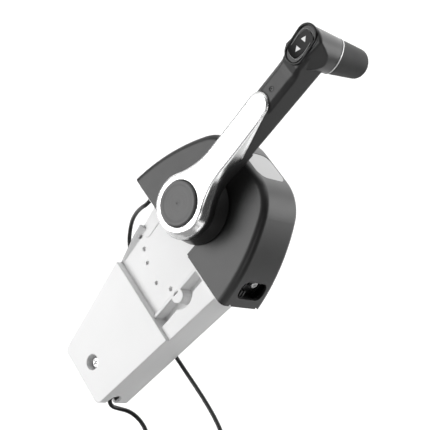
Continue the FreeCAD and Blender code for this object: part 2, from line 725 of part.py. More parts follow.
def dome_cover():
    """Moulded cover over the neck, slotted in front so that it drops over the pivot shaft."""
    cover = dome_block(0.0, DOME_EDGE_R).cut(dome_block(DOME_WALL, DOME_EDGE_R - DOME_WALL))
    deep = (-DOME_DEPTH, -DOME_DEPTH / 2 + DOME_WALL * 3)
    step = (-DOME_DEPTH, -DOME_DEPTH / 2 + SLOT_LIP_STEP)
    for half, reach in ((SLOT_HALF_WIDTH, deep), (SLOT_HALF_WIDTH + SLOT_LIP_WIDTH, step)):
        cover = cover.cut(at_shaft(half, reach))
        cover = cover.cut(box((SHAFT_X - half, SHAFT_X + half), reach, (-5, SHAFT_Z)))
    top = dome_top_z()
    cover = cover.cut(insert_prism(0.0, top - INSERT_T, top + 5))
    cover = cover.cut(window_prism(DOME_LENGTH / 4, DOME_LENGTH))
    cover = cover.cut(window_prism(-DOME_LENGTH, -DOME_LENGTH / 4))
    for ny in BASE_NOTCH_Y:
        cover = cover.cut(box((DOME_LENGTH / 3, DOME_LENGTH), (ny, ny + BASE_NOTCH_WIDTH),
                              (0, FLANGE_T + BASE_NOTCH_HEIGHT)))
    return cover


def dome_insert():
    """Flush light panel let into the crown."""
    top = dome_top_z()
    panel = insert_prism(INSERT_GAP, top - INSERT_T, top + 5)
    return panel.common(dome_block(INSERT_SINK, DOME_EDGE_R))


def dome_end(side):
    """How far from the shaft's middle plane the dome ends, on the +X (1) or -X (-1) side."""
    return DOME_LENGTH / 2 + side * DOME_X


def bracket_back(side):
    """Where a bracket's back stands, clear of the casting's neck."""
    return dome_end(side) - BRACKET_DEPTH


def screw_seat(side):
    """How far out a cover screw seats, a little behind the dome's end wall."""
    return dome_end(side) - SCREW_SEAT_DEPTH


def end_bracket(side):
    """Moulded tray behind an end window: floor, walls, ribs and the screw pillar."""
    back = bracket_back(side)
    tray = box((back, DOME_LENGTH), (-BRACKET_HALF_WIDTH, BRACKET_HALF_WIDTH), (FLANGE_T, BRACKET_TOP_Z))
    hollow = box((back + BRACKET_WALL * 2, DOME_LENGTH),
                 (-BRACKET_HALF_WIDTH + BRACKET_WALL, BRACKET_HALF_WIDTH - BRACKET_WALL),
                 (WINDOW_Z[0] - BRACKET_WALL, BRACKET_TOP_Z - BRACKET_WALL))
    tray = tray.cut(hollow)
    pillar = Part.makeCylinder(M4_HEAD_R + 1.4, DOME_LENGTH, V(back, COVER_SCREW_Y, COVER_SCREW_Z), X_AXIS)
    ribs = [box((back, DOME_LENGTH), (ry, ry + BRACKET_WALL), (FLANGE_T, BRACKET_TOP_Z))
            for ry in BRACKET_RIBS_Y]
    tray = fuse([tray, pillar] + ribs)
    front = box((screw_seat(side) - 0.01, DOME_LENGTH), (BRACKET_RIBS_Y[0] - 1, BRACKET_HALF_WIDTH), (WINDOW_Z[0], 60))
    kept = box((0, DOME_LENGTH), (-50, BRACKET_RIBS_Y[1] + BRACKET_WALL), (0, WINDOW_Z[0] + 6))
    tray = tray.cut(front.cut(kept))
    tray = tray.cut(Part.makeCylinder(M4_R + THREAD_GAP, 30, V(back - 1, COVER_SCREW_Y, COVER_SCREW_Z), X_AXIS))
    tray = tray.cut(Part.makeCylinder(M4_R + THREAD_GAP, 12, V(back + 5, 0, FLANGE_T - 1)))
    if side < 0:
        tray = tray.mirror(V(0, 0, 0), X_AXIS)
    return tray.common(dome_block(DOME_WALL + BRACKET_GAP, DOME_EDGE_R - DOME_WALL))


def cover_screws():
    screws = []
    for side in (1, -1):
        seat = V(side * screw_seat(side), COVER_SCREW_Y, COVER_SCREW_Z)
        screws.append(pan_screw(M4_R, M4_HEAD_R, M4_HEAD_T, 8.0, seat, X_AXIS * -side))
    return screws


def blade(sections):
    """Loft six-sided sections up the lever: (rise, crown, front_y, edge, edge_y, back, back_y)."""
    wires = []
    for rise, crown, front_y, edge, edge_y, back, back_y in sections:
        z = SHAFT_Z + rise
        ring = [(-crown, front_y), (crown, front_y), (edge, edge_y), (back, back_y), (-back, back_y), (-edge, edge_y)]
        points = [V(SHAFT_X + px, py, z) for px, py in ring]
        wires.append(Part.makePolygon(points + points[:1]))
    return Part.makeLoft(wires, True, True)


# The arm above the trim: rise, half width of the front face, front and edge levels
ARM_SECTIONS = ((64.0, 7.5, -57.8, -55.0), (152.0, 7.5, -60.2, -57.2), (158.0, 8.2, -60.8, -57.8),
                (165.0, 9.6, -63.8, -60.8), (182.0, 9.6, -63.8, -60.8))
ARM_BACK_Y = -37.2
ARM_SHOULDER_RISE = (34.0, 62.0)

# Where bright trim and black arm part, seen from the side: rise and level
PART_LINE = ((-60.0, TRIM_BACK_Y), (30.0, TRIM_BACK_Y), (46.0, -51.0), (57.0, -50.5), (67.5, -44.6),
             (116.0, -59.6), (140.0, -60.2))


def neck_half(y):
    """Half width of the neck at a level: its sides lean outwards to the back."""
    return NECK_HALF + NECK_SLOPE * (y - TRIM_BACK_Y)


def lever_outline(hub_r, neck, y):
    """Closed wire seen from the lever side: hub circle, hollow flares, straight neck and round tip."""
    reach = hub_r + FLARE_R
    side = neck + FLARE_R
    rise = math.sqrt(reach ** 2 - side ** 2)
    sweep = math.atan2(rise, side)

    def place(px, pz, sign=1):
        return V(SHAFT_X + sign * px, y, SHAFT_Z + pz)

    hub = (hub_r * side / reach, hub_r * rise / reach)
    mid = (side - FLARE_R * math.cos(sweep / 2), rise - FLARE_R * math.sin(sweep / 2))
    right = [place(*hub), place(*mid), place(neck, rise), place(neck, TIP_RISE)]
    left = [place(*hub, -1), place(*mid, -1), place(neck, rise, -1), place(neck, TIP_RISE, -1)]
    return Part.Wire([arc(left[0], place(0, -hub_r), right[0]), arc(*right[:3]), line(right[2], right[3]),
                      arc(right[3], place(0, TIP_RISE + neck), left[3]), line(left[3], left[2]),
                      arc(left[2], left[1], left[0])])


def side_view(points):
    """A block as wide as the lever from its side view, given as (rise, level) points."""
    corners = [V(SHAFT_X - 2 * HUB_R, py, SHAFT_Z + rise) for rise, py in points]
    face = Part.Face(Part.makePolygon(corners + corners[:1]))
    return face.extrude(V(4 * HUB_R, 0, 0))


def trim_front():
    """Everything behind the trim's front surface: flat over the hub, then swelling gently forward."""
    half = TIP_RISE - TRIM_SWELL_RISE
    swell = HUB_FACE_Y - TRIM_TIP_Y
    x = SHAFT_X - 2 * HUB_R
    start = V(x, HUB_FACE_Y, SHAFT_Z + TRIM_SWELL_RISE)
    middle = V(x, HUB_FACE_Y - swell / 4, SHAFT_Z + TRIM_SWELL_RISE + half / 2)
    end = V(x, TRIM_TIP_Y, SHAFT_Z + TIP_RISE)
    top = end + V(0, -swell * 0.45, half * 0.22)
    low = V(x, HUB_FACE_Y, SHAFT_Z - 2 * HUB_R)
    back_low = V(x, 0, low.z)
    back_top = V(x, 0, top.z)
    wire = Part.Wire([line(low, start), arc(start, middle, end), line(end, top), line(top, back_top),
                      line(back_top, back_low), line(back_low, low)])
    return Part.Face(wire).extrude(V(4 * HUB_R, 0, 0))


def trim_blank():
    """The trim's form before its back is shaped: lofted outline under the front surface."""
    deep = TRIM_BACK_Y + 6
    front = TRIM_TIP_Y - 3
    wires = [lever_outline(HUB_R + HUB_SLOPE * (y - TRIM_BACK_Y), neck_half(y), y) for y in (front, deep)]
    blank = Part.makeLoft(wires, True, True).common(trim_front())
    rim = []
    for face in blank.Faces:
        if face.CenterOfMass.y < HUB_FACE_Y + 0.5 and abs(face.normalAt(0, 0).y) > 0.9:
            rim += face.OuterWire.Edges
    outline = [e for e in rim if sum(e.isSame(f) for f in rim) == 1]
    return blank.makeFillet(TRIM_EDGE_R, outline)


def trim_side():
    """The trim's share of the lever, seen from the side: in front of the parting line."""
    front = [(PART_LINE[-1][0], TRIM_TIP_Y - 10), (PART_LINE[0][0], TRIM_TIP_Y - 10)]
    return side_view(list(PART_LINE) + front)


def trim_block():
    return trim_blank().common(trim_side())


def button_hole():
    front = at_shaft(BUTTON_HOLE_R, (-80, TRIM_BACK_Y + 0.01))
    pocket = at_shaft(BUTTON_POCKET_R, (BUTTON_BACK_Y - BUTTON_LIP_T - 0.3, TRIM_BACK_Y + 0.01))
    return front.fuse(pocket)


def chrome_trim():
    """Bright trim: ring round the button that flows into the long tapered face of the arm."""
    return trim_block().cut(button_hole())


def head_cone(radius_gain):
    """The tapered round form of head and grip, from the switch face to the grip's end."""
    start = V(SHAFT_X, HEAD_FRONT_Y, HEAD_Z)
    end = V(SHAFT_X, GRIP_END_Y, HEAD_Z + GRIP_RISE)
    axis = end.sub(start)
    return Part.makeCone(HEAD_R + radius_gain, GRIP_END_R + radius_gain, axis.Length, start, axis), end


def head_blank(radius_gain=0.0):
    """Head and grip: the cone with a rounded end, flattened on both sides towards the switch."""
    blank, end = head_cone(radius_gain)
    if radius_gain == 0.0:
        near_end = [e for e in blank.Edges if len(e.Vertexes) == 1 and (e.CenterOfMass - end).Length < 1]
        blank = blank.makeFillet(GRIP_END_ROUND, near_end)
    for side in (-1, 1):
        facet = box((0, 100), (-60, 120), (-100, 100))
        facet.rotate(V(0, 0, 0), Z_AXIS, -HEAD_FACET)
        facet.translate(V(HEAD_HALF_WIDTH, HEAD_FRONT_Y, 0))
        if side < 0:
            facet = facet.mirror(V(0, 0, 0), X_AXIS)
        facet = turn_y(facet, -SWITCH_TILT, 0, 0)
        facet.translate(V(HEAD_X, 0, HEAD_Z))
        blank = blank.cut(facet)
    if radius_gain == 0.0:
        rim = [e for e in blank.Edges if abs(e.BoundBox.YMin - HEAD_FRONT_Y) + abs(e.BoundBox.YMax - HEAD_FRONT_Y) < 1.7]
        blank = blank.makeFillet(HEAD_EDGE_R, rim)
    return blank


def behind_seam(offset):
    """A large block on the grip's side of the slanted seam, moved along the seam's normal."""
    turn = math.radians(SEAM_ANGLE)
    lean = math.radians(SEAM_LEAN)
    block = box((-120, 120), (0, 200), (-120, 120))
    block.rotate(V(0, 0, 0), X_AXIS, SEAM_LEAN)
    block.rotate(V(0, 0, 0), Z_AXIS, -SEAM_ANGLE)
    normal = V(math.sin(turn) * math.cos(lean), math.cos(turn) * math.cos(lean), math.sin(lean))
    block.translate(V(SHAFT_X, SEAM_Y, HEAD_Z) + normal * offset)
    return block


def tang():
    """Round spigot of the arm that carries the grip sleeve."""
    return rod(TANG_R, (SEAM_Y - 20, GRIP_END_Y - GRIP_WALL - 2), SHAFT_X, HEAD_Z + GRIP_RISE * 0.6)


def placed_on_head(shape):
    """Tilt a piece that was made round x = 0, z = 0 and move it to the switch's place."""
    copy = turn_y(shape, -SWITCH_TILT, 0, 0)
    copy.translate(V(SWITCH_X, 0, SWITCH_Z))
    return copy


def lower_arm():
    """The arm's black lower part: hub plate, flares and the foot of the neck, behind the trim."""
    hub_r = HUB_R - 0.6
    wires = [lever_outline(hub_r, neck_half(y), y) for y in (TRIM_TIP_Y + 4, ARM_BACK_Y + 1)]
    low, high = ARM_SHOULDER_RISE
    profile = [(-2 * HUB_R, TRIM_TIP_Y + 5), (high + 14, TRIM_TIP_Y + 5), (high + 14, ARM_BACK_Y), (high, ARM_BACK_Y),
               (low, ARM_HUB_BACK_Y), (-2 * HUB_R, ARM_HUB_BACK_Y)]
    return Part.makeLoft(wires, True, True).common(side_view(profile))


def tip_seat():
    """The arm's full-width seat under the trim's upper half."""
    low = TIP_RISE - 30
    high = TIP_RISE + 30
    return trim_blank().common(side_view([(low, ARM_HUB_BACK_Y), (low, -80), (high, -80), (high, ARM_HUB_BACK_Y)]))


def upper_arm():
    """The arm's long blade with its bevelled front, up into the head."""
    sections = []
    for rise, crown, front_y, edge_y in ARM_SECTIONS:
        sections.append((rise, crown, front_y, neck_half(edge_y), edge_y, neck_half(ARM_BACK_Y), ARM_BACK_Y))
    shape = blade(sections).removeSplitter()
    back = [e for e in shape.Edges if abs(e.CenterOfMass.y - ARM_BACK_Y) < 0.1
            and abs(e.tangentAt(e.FirstParameter).z) > 0.9]
    return shape.makeFillet(ARM_EDGE_R, back)


def lever_arm():
    """Black arm: hub plate and barrel, tapered arm and the head that holds the switch."""
    barrel = at_shaft(BARREL_R, (ARM_HUB_BACK_Y - 1, BARREL_BACK_Y))
    head = head_blank().cut(behind_seam(0.0))
    upper = upper_arm().cut(behind_seam(0.0))
    arm = fuse([lower_arm(), upper, head, tip_seat()])
    arm = arm.cut(trim_side().common(box((-60, 60), (-90, -20), (-60, 190))))
    arm = arm.cut(at_shaft(SKIRT_BACK_R + 0.5, (ARM_HUB_BACK_Y, 0))).fuse(barrel)
    arm = arm.cut(at_shaft(SHAFT_R + NEAR, (-80, 0)))
    arm = arm.fuse(tang())
    pocket = placed_on_head(rounded_plate(BEZEL_LENGTH, BEZEL_WIDTH, BEZEL_CORNER_R, -80, BEZEL_BACK_Y))
    arm = arm.cut(pocket)
    arm = arm.cut(rod(GRUB_R, (-80, -55), SHAFT_X, GRUB_Z))
    return max(arm.removeSplitter().Solids, key=lambda solid: solid.Volume)


def grub_screw():
    """Set screw sunk in the arm's front face, with a hexagon socket."""
    body = rod(GRUB_R - NEAR, (-59.2, -55.0), SHAFT_X, GRUB_Z)
    corners = [polar(GRUB_R * 0.55, a, SHAFT_X, GRUB_Z) for a in range(0, 360, 60)]
    return body.cut(prism(corners, (-70, -57.8)))


def hub_skirt():
    """Collar that hides the gap between the turning hub and the dome."""
    back_y = -DOME_DEPTH / 2 - SKIRT_GAP
    outer = turned(((0, ARM_HUB_BACK_Y), (SKIRT_FRONT_R, ARM_HUB_BACK_Y), (SKIRT_BACK_R, back_y), (0, back_y)),
                   SHAFT_X, SHAFT_Z)
    web_y = ARM_HUB_BACK_Y + SKIRT_WALL
    inner = turned(((0, web_y), (SKIRT_FRONT_R - SKIRT_WALL, web_y), (SKIRT_BACK_R - SKIRT_WALL, back_y + 1),
                    (0, back_y + 1)), SHAFT_X, SHAFT_Z)
    return outer.cut(inner).cut(at_shaft(BARREL_R + NEAR, (-80, 0)))


def grip_sleeve():
    """Closed sleeve over the tang, behind the slanted seam."""
    sleeve = head_blank().common(behind_seam(SEAM_T))
    return sleeve.cut(rod(TANG_R + NEAR, (-80, GRIP_END_Y - GRIP_WALL - 2 + NEAR), SHAFT_X, HEAD_Z + GRIP_RISE * 0.6))


def grip_ring():
    """Thin bright ring in the seam."""
    ring = head_blank(0.25).common(behind_seam(0.0)).cut(behind_seam(SEAM_T))
    return ring.cut(rod(TANG_R + NEAR, (-80, 20), SHAFT_X, HEAD_Z + GRIP_RISE * 0.6))


def switch_bezel():
    """Oval cup that lines the switch recess and carries the rocker's pin."""
    cup = rounded_plate(BEZEL_LENGTH - 2 * NEAR, BEZEL_WIDTH - 2 * NEAR, BEZEL_CORNER_R - NEAR, BEZEL_FRONT_Y,
                        BEZEL_BACK_Y)
    well = rounded_plate(ROCKER_LENGTH + 2 * ROCKER_GAP, ROCKER_WIDTH + 2 * ROCKER_GAP, ROCKER_CORNER_R + ROCKER_GAP,
                         BEZEL_FRONT_Y - 1, BEZEL_BACK_Y - BEZEL_FLOOR_T)
    cup = cup.cut(well)
    pin_hole = Part.makeCylinder(ROCKER_PIN_R, BEZEL_WIDTH - 3, V(-BEZEL_WIDTH / 2 + 1.5, ROCKER_PIN_Y, 0), X_AXIS)
    return placed_on_head(cup.cut(pin_hole))


def rocker_pin():
    half = BEZEL_WIDTH / 2 - 1.6
    return placed_on_head(Part.makeCylinder(ROCKER_PIN_R - NEAR, 2 * half, V(-half, ROCKER_PIN_Y, 0), X_AXIS))


def trim_rocker():
    """Rocker with a hollowed face, turning on a pin across its middle."""
    body = rounded_plate(ROCKER_LENGTH, ROCKER_WIDTH, ROCKER_CORNER_R, ROCKER_FRONT_Y, ROCKER_BACK_Y)
    sag = 0.9
    reach = (ROCKER_LENGTH / 2) ** 2 / (2 * sag)
    dish = Part.makeCylinder(reach, ROCKER_WIDTH * 2, V(-ROCKER_WIDTH, ROCKER_FRONT_Y - reach + sag, 0), X_AXIS)
    body = body.cut(dish)
    keel = Part.makeCylinder(2.4, ROCKER_WIDTH - 2, V(-ROCKER_WIDTH / 2 + 1, ROCKER_PIN_Y, 0), X_AXIS)
    body = body.fuse(keel.common(box((-20, 20), (ROCKER_FRONT_Y + 2, -50), (-20, 20))))
    body = body.cut(Part.makeCylinder(ROCKER_PIN_R, 40, V(-20, ROCKER_PIN_Y, 0), X_AXIS))
    return placed_on_head(body)


def main_shaft():
    """Pivot shaft, tapped at the lever end and grooved for its clip at the far end."""
    shaft = at_shaft(SHAFT_R, (SHAFT_FRONT_Y, SHAFT_BACK_Y))
    shaft = shaft.cut(at_shaft(M5_R + THREAD_GAP, (SHAFT_FRONT_Y - 1, SHAFT_FRONT_Y + 16)))
    low = SHAFT_BACK_Y - CLIP_BACK_GAP - CLIP_T
    return shaft.cut(tube(SHAFT_R + 1, SHAFT_R - 1, (low, low + CLIP_T), SHAFT_X, SHAFT_Z))


def shaft_clip():
    low = SHAFT_BACK_Y - CLIP_BACK_GAP - CLIP_T + NEAR
    ring = tube(CLIP_R, SHAFT_R - 1 + NEAR, (low, low + CLIP_T - 2 * NEAR), SHAFT_X, SHAFT_Z)
    return ring.cut(box((SHAFT_X - 2.5, SHAFT_X + 2.5), (0, 30), (SHAFT_Z - 20, SHAFT_Z)))


def lever_bolt():
    """Bolt and washer that hold the lever on the shaft, under the button."""
    washer_y = TRIM_BACK_Y - 1.5
    head_y = washer_y - 3.5
    corners = [polar(5.0, a) for a in range(0, 360, 60)]
    head = prism(corners, (head_y, washer_y))
    shank = at_shaft(M5_R, (washer_y, SHAFT_FRONT_Y + 14))
    washer = at_shaft(10.0, (washer_y, TRIM_BACK_Y))
    return fuse([head, washer, shank])


def hub_button():
    """Throttle-only button: ringed face, skirt and a lip that the trim holds back."""
    cup = at_shaft(BUTTON_R, (BUTTON_FRONT_Y, BUTTON_BACK_Y))
    rim = [e for e in cup.Edges if abs(e.CenterOfMass.y - BUTTON_FRONT_Y) < 0.1 and len(e.Vertexes) == 1]
    cup = cup.makeFillet(1.0, rim)
    cup = cup.fuse(at_shaft(BUTTON_R + BUTTON_LIP, (BUTTON_BACK_Y - BUTTON_LIP_T, BUTTON_BACK_Y)))
    cup = cup.cut(at_shaft(BUTTON_R - BUTTON_WALL, (BUTTON_FRONT_Y + BUTTON_FACE_T, BUTTON_BACK_Y + 1)))
    for radius in BUTTON_RING_R:
        ring = tube(radius + 0.5, radius - 0.5, (BUTTON_FRONT_Y - 1, BUTTON_FRONT_Y + BUTTON_RING_DEPTH),
                    SHAFT_X, SHAFT_Z)
        cup = cup.cut(ring)
    dimple = Part.makeSphere(6.0, V(SHAFT_X, BUTTON_FRONT_Y - 5.4, SHAFT_Z))
    return cup.cut(dimple)


def coil_spring(radius, wire_r, turns, y, x, z):
    """A helical spring along Y between two levels."""
    height = y[1] - y[0] - 2 * wire_r
    helix = Part.makeHelix(height / turns, height, radius)
    section = Part.Wire(Part.makeCircle(wire_r, V(radius, 0, 0), Y_AXIS))
    spring = Part.Wire(helix).makePipeShell([section], True, False)
    spring.rotate(V(0, 0, 0), X_AXIS, -90)
    spring.translate(V(x, y[0] + wire_r, z))
    return spring


def button_spring():
    low = BUTTON_FRONT_Y + BUTTON_FACE_T
    return coil_spring(SPRING_R, SPRING_WIRE_R, SPRING_TURNS, (low + NEAR, TRIM_BACK_Y - NEAR), SHAFT_X, SHAFT_Z)


def involute(angle):
    return math.tan(angle) - angle


def gear_face(teeth, first_tooth):
    """Outline of a full involute gear round x = 0, z = 0, a tooth centred at the first angle."""
    pitch_r = GEAR_MODULE * teeth / 2
    base_r = pitch_r * math.cos(math.radians(PRESSURE_ANGLE))
    tip_r = pitch_r + ADDENDUM * GEAR_MODULE
    root_r = pitch_r - DEDENDUM * GEAR_MODULE
    half_pitch = math.pi / (2 * teeth) - BACKLASH / (4 * pitch_r) * 2

    def flank(radius):
        tilt = math.acos(min(1.0, base_r / radius))
        return half_pitch + involute(math.radians(PRESSURE_ANGLE)) - involute(tilt)

    start_r = max(base_r, root_r)
    radii = [start_r + (tip_r - start_r) * k / 3 for k in range(4)]
    points = []
    for tooth in range(teeth):
        centre = math.radians(first_tooth) + 2 * math.pi * tooth / teeth
        rising = [(root_r, centre - flank(start_r))] + [(r, centre - flank(r)) for r in radii]
        falling = [(r, centre + flank(r)) for r in reversed(radii)] + [(root_r, centre + flank(start_r))]
        points += [V(r * math.cos(a), 0, r * math.sin(a)) for r, a in rising + falling]
    return Part.makePolygon(points + points[:1])


def drive_gear():
    """Straight-toothed pinion on the shaft, long enough to turn both sectors."""
    gear = slab(gear_face(DRIVE_TEETH, -90 - GEAR_SPREAD), DRIVE_Y)
    gear.translate(V(SHAFT_X, 0, SHAFT_Z))
    return gear.cut(at_shaft(SHAFT_R + NEAR, (-60, 30)))


def sector_arm(teeth, axis, towards, y):
    """A toothed sector facing the pinion, with a cable arm straight down."""
    tip_r = GEAR_MODULE * (teeth / 2 + ADDENDUM)
    gear = slab(gear_face(teeth, towards + 180.0 / teeth), y)
    wedge = [(0.0, 0.0)]
    for step in range(-4, 5):
        wedge.append(polar(tip_r * 1.3, towards + SECTOR_HALF_ANGLE * step / 4, 0, 0))
    sector = gear.common(prism(wedge, (y[0] - 1, y[1] + 1)))
    for side in (-1, 1):
        hx, hz = polar(tip_r * 0.62, towards + side * SECTOR_HALF_ANGLE * 0.5, 0, 0)
        sector = sector.cut(rod(tip_r * 0.16, (y[0] - 1, y[1] + 1), hx, hz))
    arm = box((-ARM_WIDTH / 2, ARM_WIDTH / 2), y, (-ARM_LENGTH, 0))
    sector = fuse([sector, rod(SECTOR_HUB_R, y), arm, rod(ARM_EYE_R, y, 0, -ARM_LENGTH)])
    sector = sector.cut(rod(SECTOR_BORE_R, (-30, 30))).cut(rod(CABLE_PIN_R + NEAR, (-30, 30), 0, -ARM_LENGTH))
    sector.translate(V(axis[0], 0, axis[1]))
    return sector


def shift_arm():
    return sector_arm(SHIFT_TEETH, shift_axis(), 90 - GEAR_SPREAD, SHIFT_Y)


def throttle_arm():
    return sector_arm(THROTTLE_TEETH, throttle_axis(), 90 + GEAR_SPREAD, THROTTLE_Y)


def cable_pin(axis, y):
    """Grooved pin through an arm's eye, where a control cable hooks on."""
    px = axis[0]
    pz = axis[1] - ARM_LENGTH
    tip = y[1] + PIN_REACH
    pin = rod(CABLE_PIN_R, (y[0], tip), px, pz)
    groove_low = tip - PIN_GROOVE_IN
    return pin.cut(tube(CABLE_PIN_R + 1, CABLE_PIN_R - PIN_GROOVE_DEPTH, (groove_low, groove_low + PIN_GROOVE_T), px, pz))


def shift_axle():
    """Stub axle pressed in the casting, with a flat head that keeps the sector on."""
    sx, sz = shift_axis()
    pin = rod(SECTOR_BORE_R - RUNNING_CLEARANCE, (RECESS_Y + 1, SHIFT_Y[1] + 0.3), sx, sz)
    return pin.fuse(rod(SECTOR_BORE_R + 2, (SHIFT_Y[1] + 0.3, SHIFT_Y[1] + 1.5), sx, sz))


def throttle_axle():
    tx, tz = throttle_axis()
    pin = rod(SECTOR_BORE_R - RUNNING_CLEARANCE, (THROTTLE_Y[0] - 0.3, REAR_INNER_Y + REAR_T), tx, tz)
    return pin.fuse(rod(SECTOR_BORE_R + 2, (THROTTLE_Y[0] - 1.5, THROTTLE_Y[0] - 0.3), tx, tz))


def detent_disc():
    """Disc on the shaft: three dimples for the ball and a rim notch for the neutral switch."""
    disc = at_shaft(DISC_R, DISC_Y)
    for step in (-1, 0, 1):
        bx, bz = polar(DETENT_RADIUS, DETENT_ANGLE + step * DETENT_STEP)
        depth_centre = DISC_Y[1] + BALL_R - DIMPLE_DEPTH
        disc = disc.cut(Part.makeSphere(BALL_R, V(bx, depth_centre, bz)))
    nx, nz = polar(DISC_R + 2.0, SWITCH_ANGLE)
    disc = disc.cut(rod(3.2, (DISC_Y[0] - 1, DISC_Y[1] + 1), nx, nz))
    return disc.cut(at_shaft(SHAFT_R + NEAR, (-60, 30)))


def detent_boss_y():
    return DOME_DEPTH / 2 - DETENT_BOSS_CLEAR


def detent_ball():
    bx, bz = polar(DETENT_RADIUS, DETENT_ANGLE)
    return Part.makeSphere(BALL_R, V(bx, DISC_Y[1] + BALL_GAP + BALL_R, bz))


def detent_spring():
    bx, bz = polar(DETENT_RADIUS, DETENT_ANGLE)
    low = DISC_Y[1] + BALL_GAP + 2 * BALL_R
    return coil_spring(DETENT_SPRING_R, DETENT_WIRE_R, DETENT_TURNS,
                       (low + NEAR, detent_boss_y() - PLUG_T - NEAR), bx, bz)


def detent_plug():
    bx, bz = polar(DETENT_RADIUS, DETENT_ANGLE)
    top = detent_boss_y()
    plug = rod(DETENT_BORE_R - NEAR, (top - PLUG_T, top), bx, bz)
    return plug.cut(box((bx - DETENT_BORE_R, bx + DETENT_BORE_R), (top - PLUG_T / 2, top + 1), (bz - 0.4, bz + 0.4)))


def micro_local(radius, along):
    """A place near the neutral switch: outwards from the shaft and across."""
    a = math.radians(SWITCH_ANGLE)
    return (SHAFT_X + radius * math.cos(a) - along * math.sin(a),
            SHAFT_Z + radius * math.sin(a) + along * math.cos(a))


def micro_low():
    return DISC_R + BALL_GAP + PLUNGER_OUT


def micro_screw_place(spread):
    return micro_local(micro_low() + MICRO_HEIGHT * 0.6, spread)


def neutral_switch():
    """Small switch body screwed to the rear plate beside the disc."""
    low = micro_low()
    corners = [micro_local(r, a) for r, a in ((low, -MICRO_LENGTH / 2), (low + MICRO_HEIGHT, -MICRO_LENGTH / 2),
                                              (low + MICRO_HEIGHT, MICRO_LENGTH / 2), (low, MICRO_LENGTH / 2))]
    body = prism(corners, MICRO_Y)
    for spread in (-MICRO_SCREW_SPREAD, MICRO_SCREW_SPREAD):
        mx, mz = micro_screw_place(spread)
        body = body.cut(rod(1.1, (0, 30), mx, mz))
    return body.cut(plunger_rod(PLUNGER_R + RUNNING_CLEARANCE, 1.0, 5.0))


def plunger_rod(radius, out, into):
    """A rod on the plunger's line, from outside the switch to inside it."""
    a = math.radians(SWITCH_ANGLE)
    outward = V(math.cos(a), 0, math.sin(a))
    px, pz = micro_local(micro_low() - out, 0)
    return Part.makeCylinder(radius, out + into, V(px, (DISC_Y[0] + DISC_Y[1]) / 2, pz), outward)


def neutral_plunger():
    return plunger_rod(PLUNGER_R, PLUNGER_OUT, 3.5)


def micro_screws():
    screws = []
    for spread in (-MICRO_SCREW_SPREAD, MICRO_SCREW_SPREAD):
        mx, mz = micro_screw_place(spread)
        seat = V(mx, MICRO_Y[0], mz)
        screws.append(pan_screw(1.05, 1.9, 1.0, MICRO_Y[1] - MICRO_Y[0] + REAR_T, seat, Y_AXIS))
    return screws


def cable_anchor():
    """Cross bar in the lower bay with two grooves that grip the control cables' sleeves."""
    half = ANCHOR_HEIGHT / 2
    z = (ANCHOR_Z - half, ANCHOR_Z + half)
    x = (left_edge_x(z[1]) + WALL + 4, right_edge_x(z[1]) - WALL - 4)
    bar = box(x, (REAR_INNER_Y - ANCHOR_T, REAR_INNER_Y), z)
    centre = REAR_INNER_Y - ANCHOR_T - 1.0
    for ex in CABLE_EXIT_X:
        bar = bar.cut(Part.makeCylinder(ANCHOR_GROOVE_R, ANCHOR_HEIGHT + 2, V(ex, centre, z[0] - 1)))
    return bar


def cable_seals():
    """Rubber seals in the two cable exits."""
    seals = []
    for ex in CABLE_EXIT_X:
        body = Part.makeCylinder(CABLE_EXIT_R - NEAR, WALL + 2, V(ex, CABLE_EXIT_Y, BOTTOM_Z - 1))
        lip = Part.makeCone(CABLE_EXIT_R - 1.0, CABLE_EXIT_R + SEAL_LIP, SEAL_OUT, V(ex, CABLE_EXIT_Y, BOTTOM_Z - SEAL_OUT))
        inner = Part.makeCylinder(CABLE_EXIT_R + SEAL_LIP, 1.2, V(ex, CABLE_EXIT_Y, BOTTOM_Z + WALL))
        seal = fuse([body, lip, inner])
        bore = Part.makeCylinder(SEAL_BORE_R, 20, V(ex, CABLE_EXIT_Y, BOTTOM_Z - 10))
        seals.append(seal.cut(bore))
    return seals


def low_screw():
    seat = V(LOW_SCREW_X, RAISED_Y + LOW_BORE_DEPTH, LOW_SCREW_Z)
    length = REAR_INNER_Y + REAR_T - seat.y
    return pan_screw(M5_R, M5_HEAD_R, M5_HEAD_T, length, seat, Y_AXIS)


def rear_screws():
    back = REAR_INNER_Y + REAR_T
    return [pan_screw(M4_R, M4_HEAD_R, M4_HEAD_T, REAR_SCREW_DEPTH, V(px, back, pz), Y_AXIS * -1)
            for px, pz in rear_screw_places()]


def lead_clips():
    """Saddle clips that hold the trim lead against the rear plate."""
    clips = []
    back = REAR_INNER_Y + REAR_T
    centre_y = TRIM_ROUTE[LEAD_CLIP_RUNS[0]][1]
    half = LEAD_CLIP_WIDTH / 2
    for px, pz, fall in clip_places():
        outer = Part.makeCylinder(TRIM_LEAD_D / 2 + 0.3 + LEAD_CLIP_T, LEAD_CLIP_WIDTH, V(-half, centre_y, 0), X_AXIS)
        tab = box((-half, half), (back, back + LEAD_CLIP_T), (0, clip_screw_rise() + M4_HEAD_R))
        bore = Part.makeCylinder(TRIM_LEAD_D / 2 + 0.3, LEAD_CLIP_WIDTH + 2, V(-half - 1, centre_y, 0), X_AXIS)
        clip = outer.fuse(tab).cut(bore).cut(box((-20, 20), (0, back), (-20, 20)))
        clip = clip.cut(rod(M4_R + 0.1, (0, 40), 0, clip_screw_rise()))
        clip = turn_y(clip, -fall, 0, 0)
        clip.translate(V(px, 0, pz))
        clips.append(clip)
    return clips


def clip_screws():
    seat_y = REAR_INNER_Y + REAR_T + LEAD_CLIP_T
    return [pan_screw(M4_R, M4_HEAD_R, M4_HEAD_T, REAR_T + LEAD_CLIP_T - 0.2, V(px, seat_y, pz), Y_AXIS * -1)
            for px, pz in clip_screw_places()]


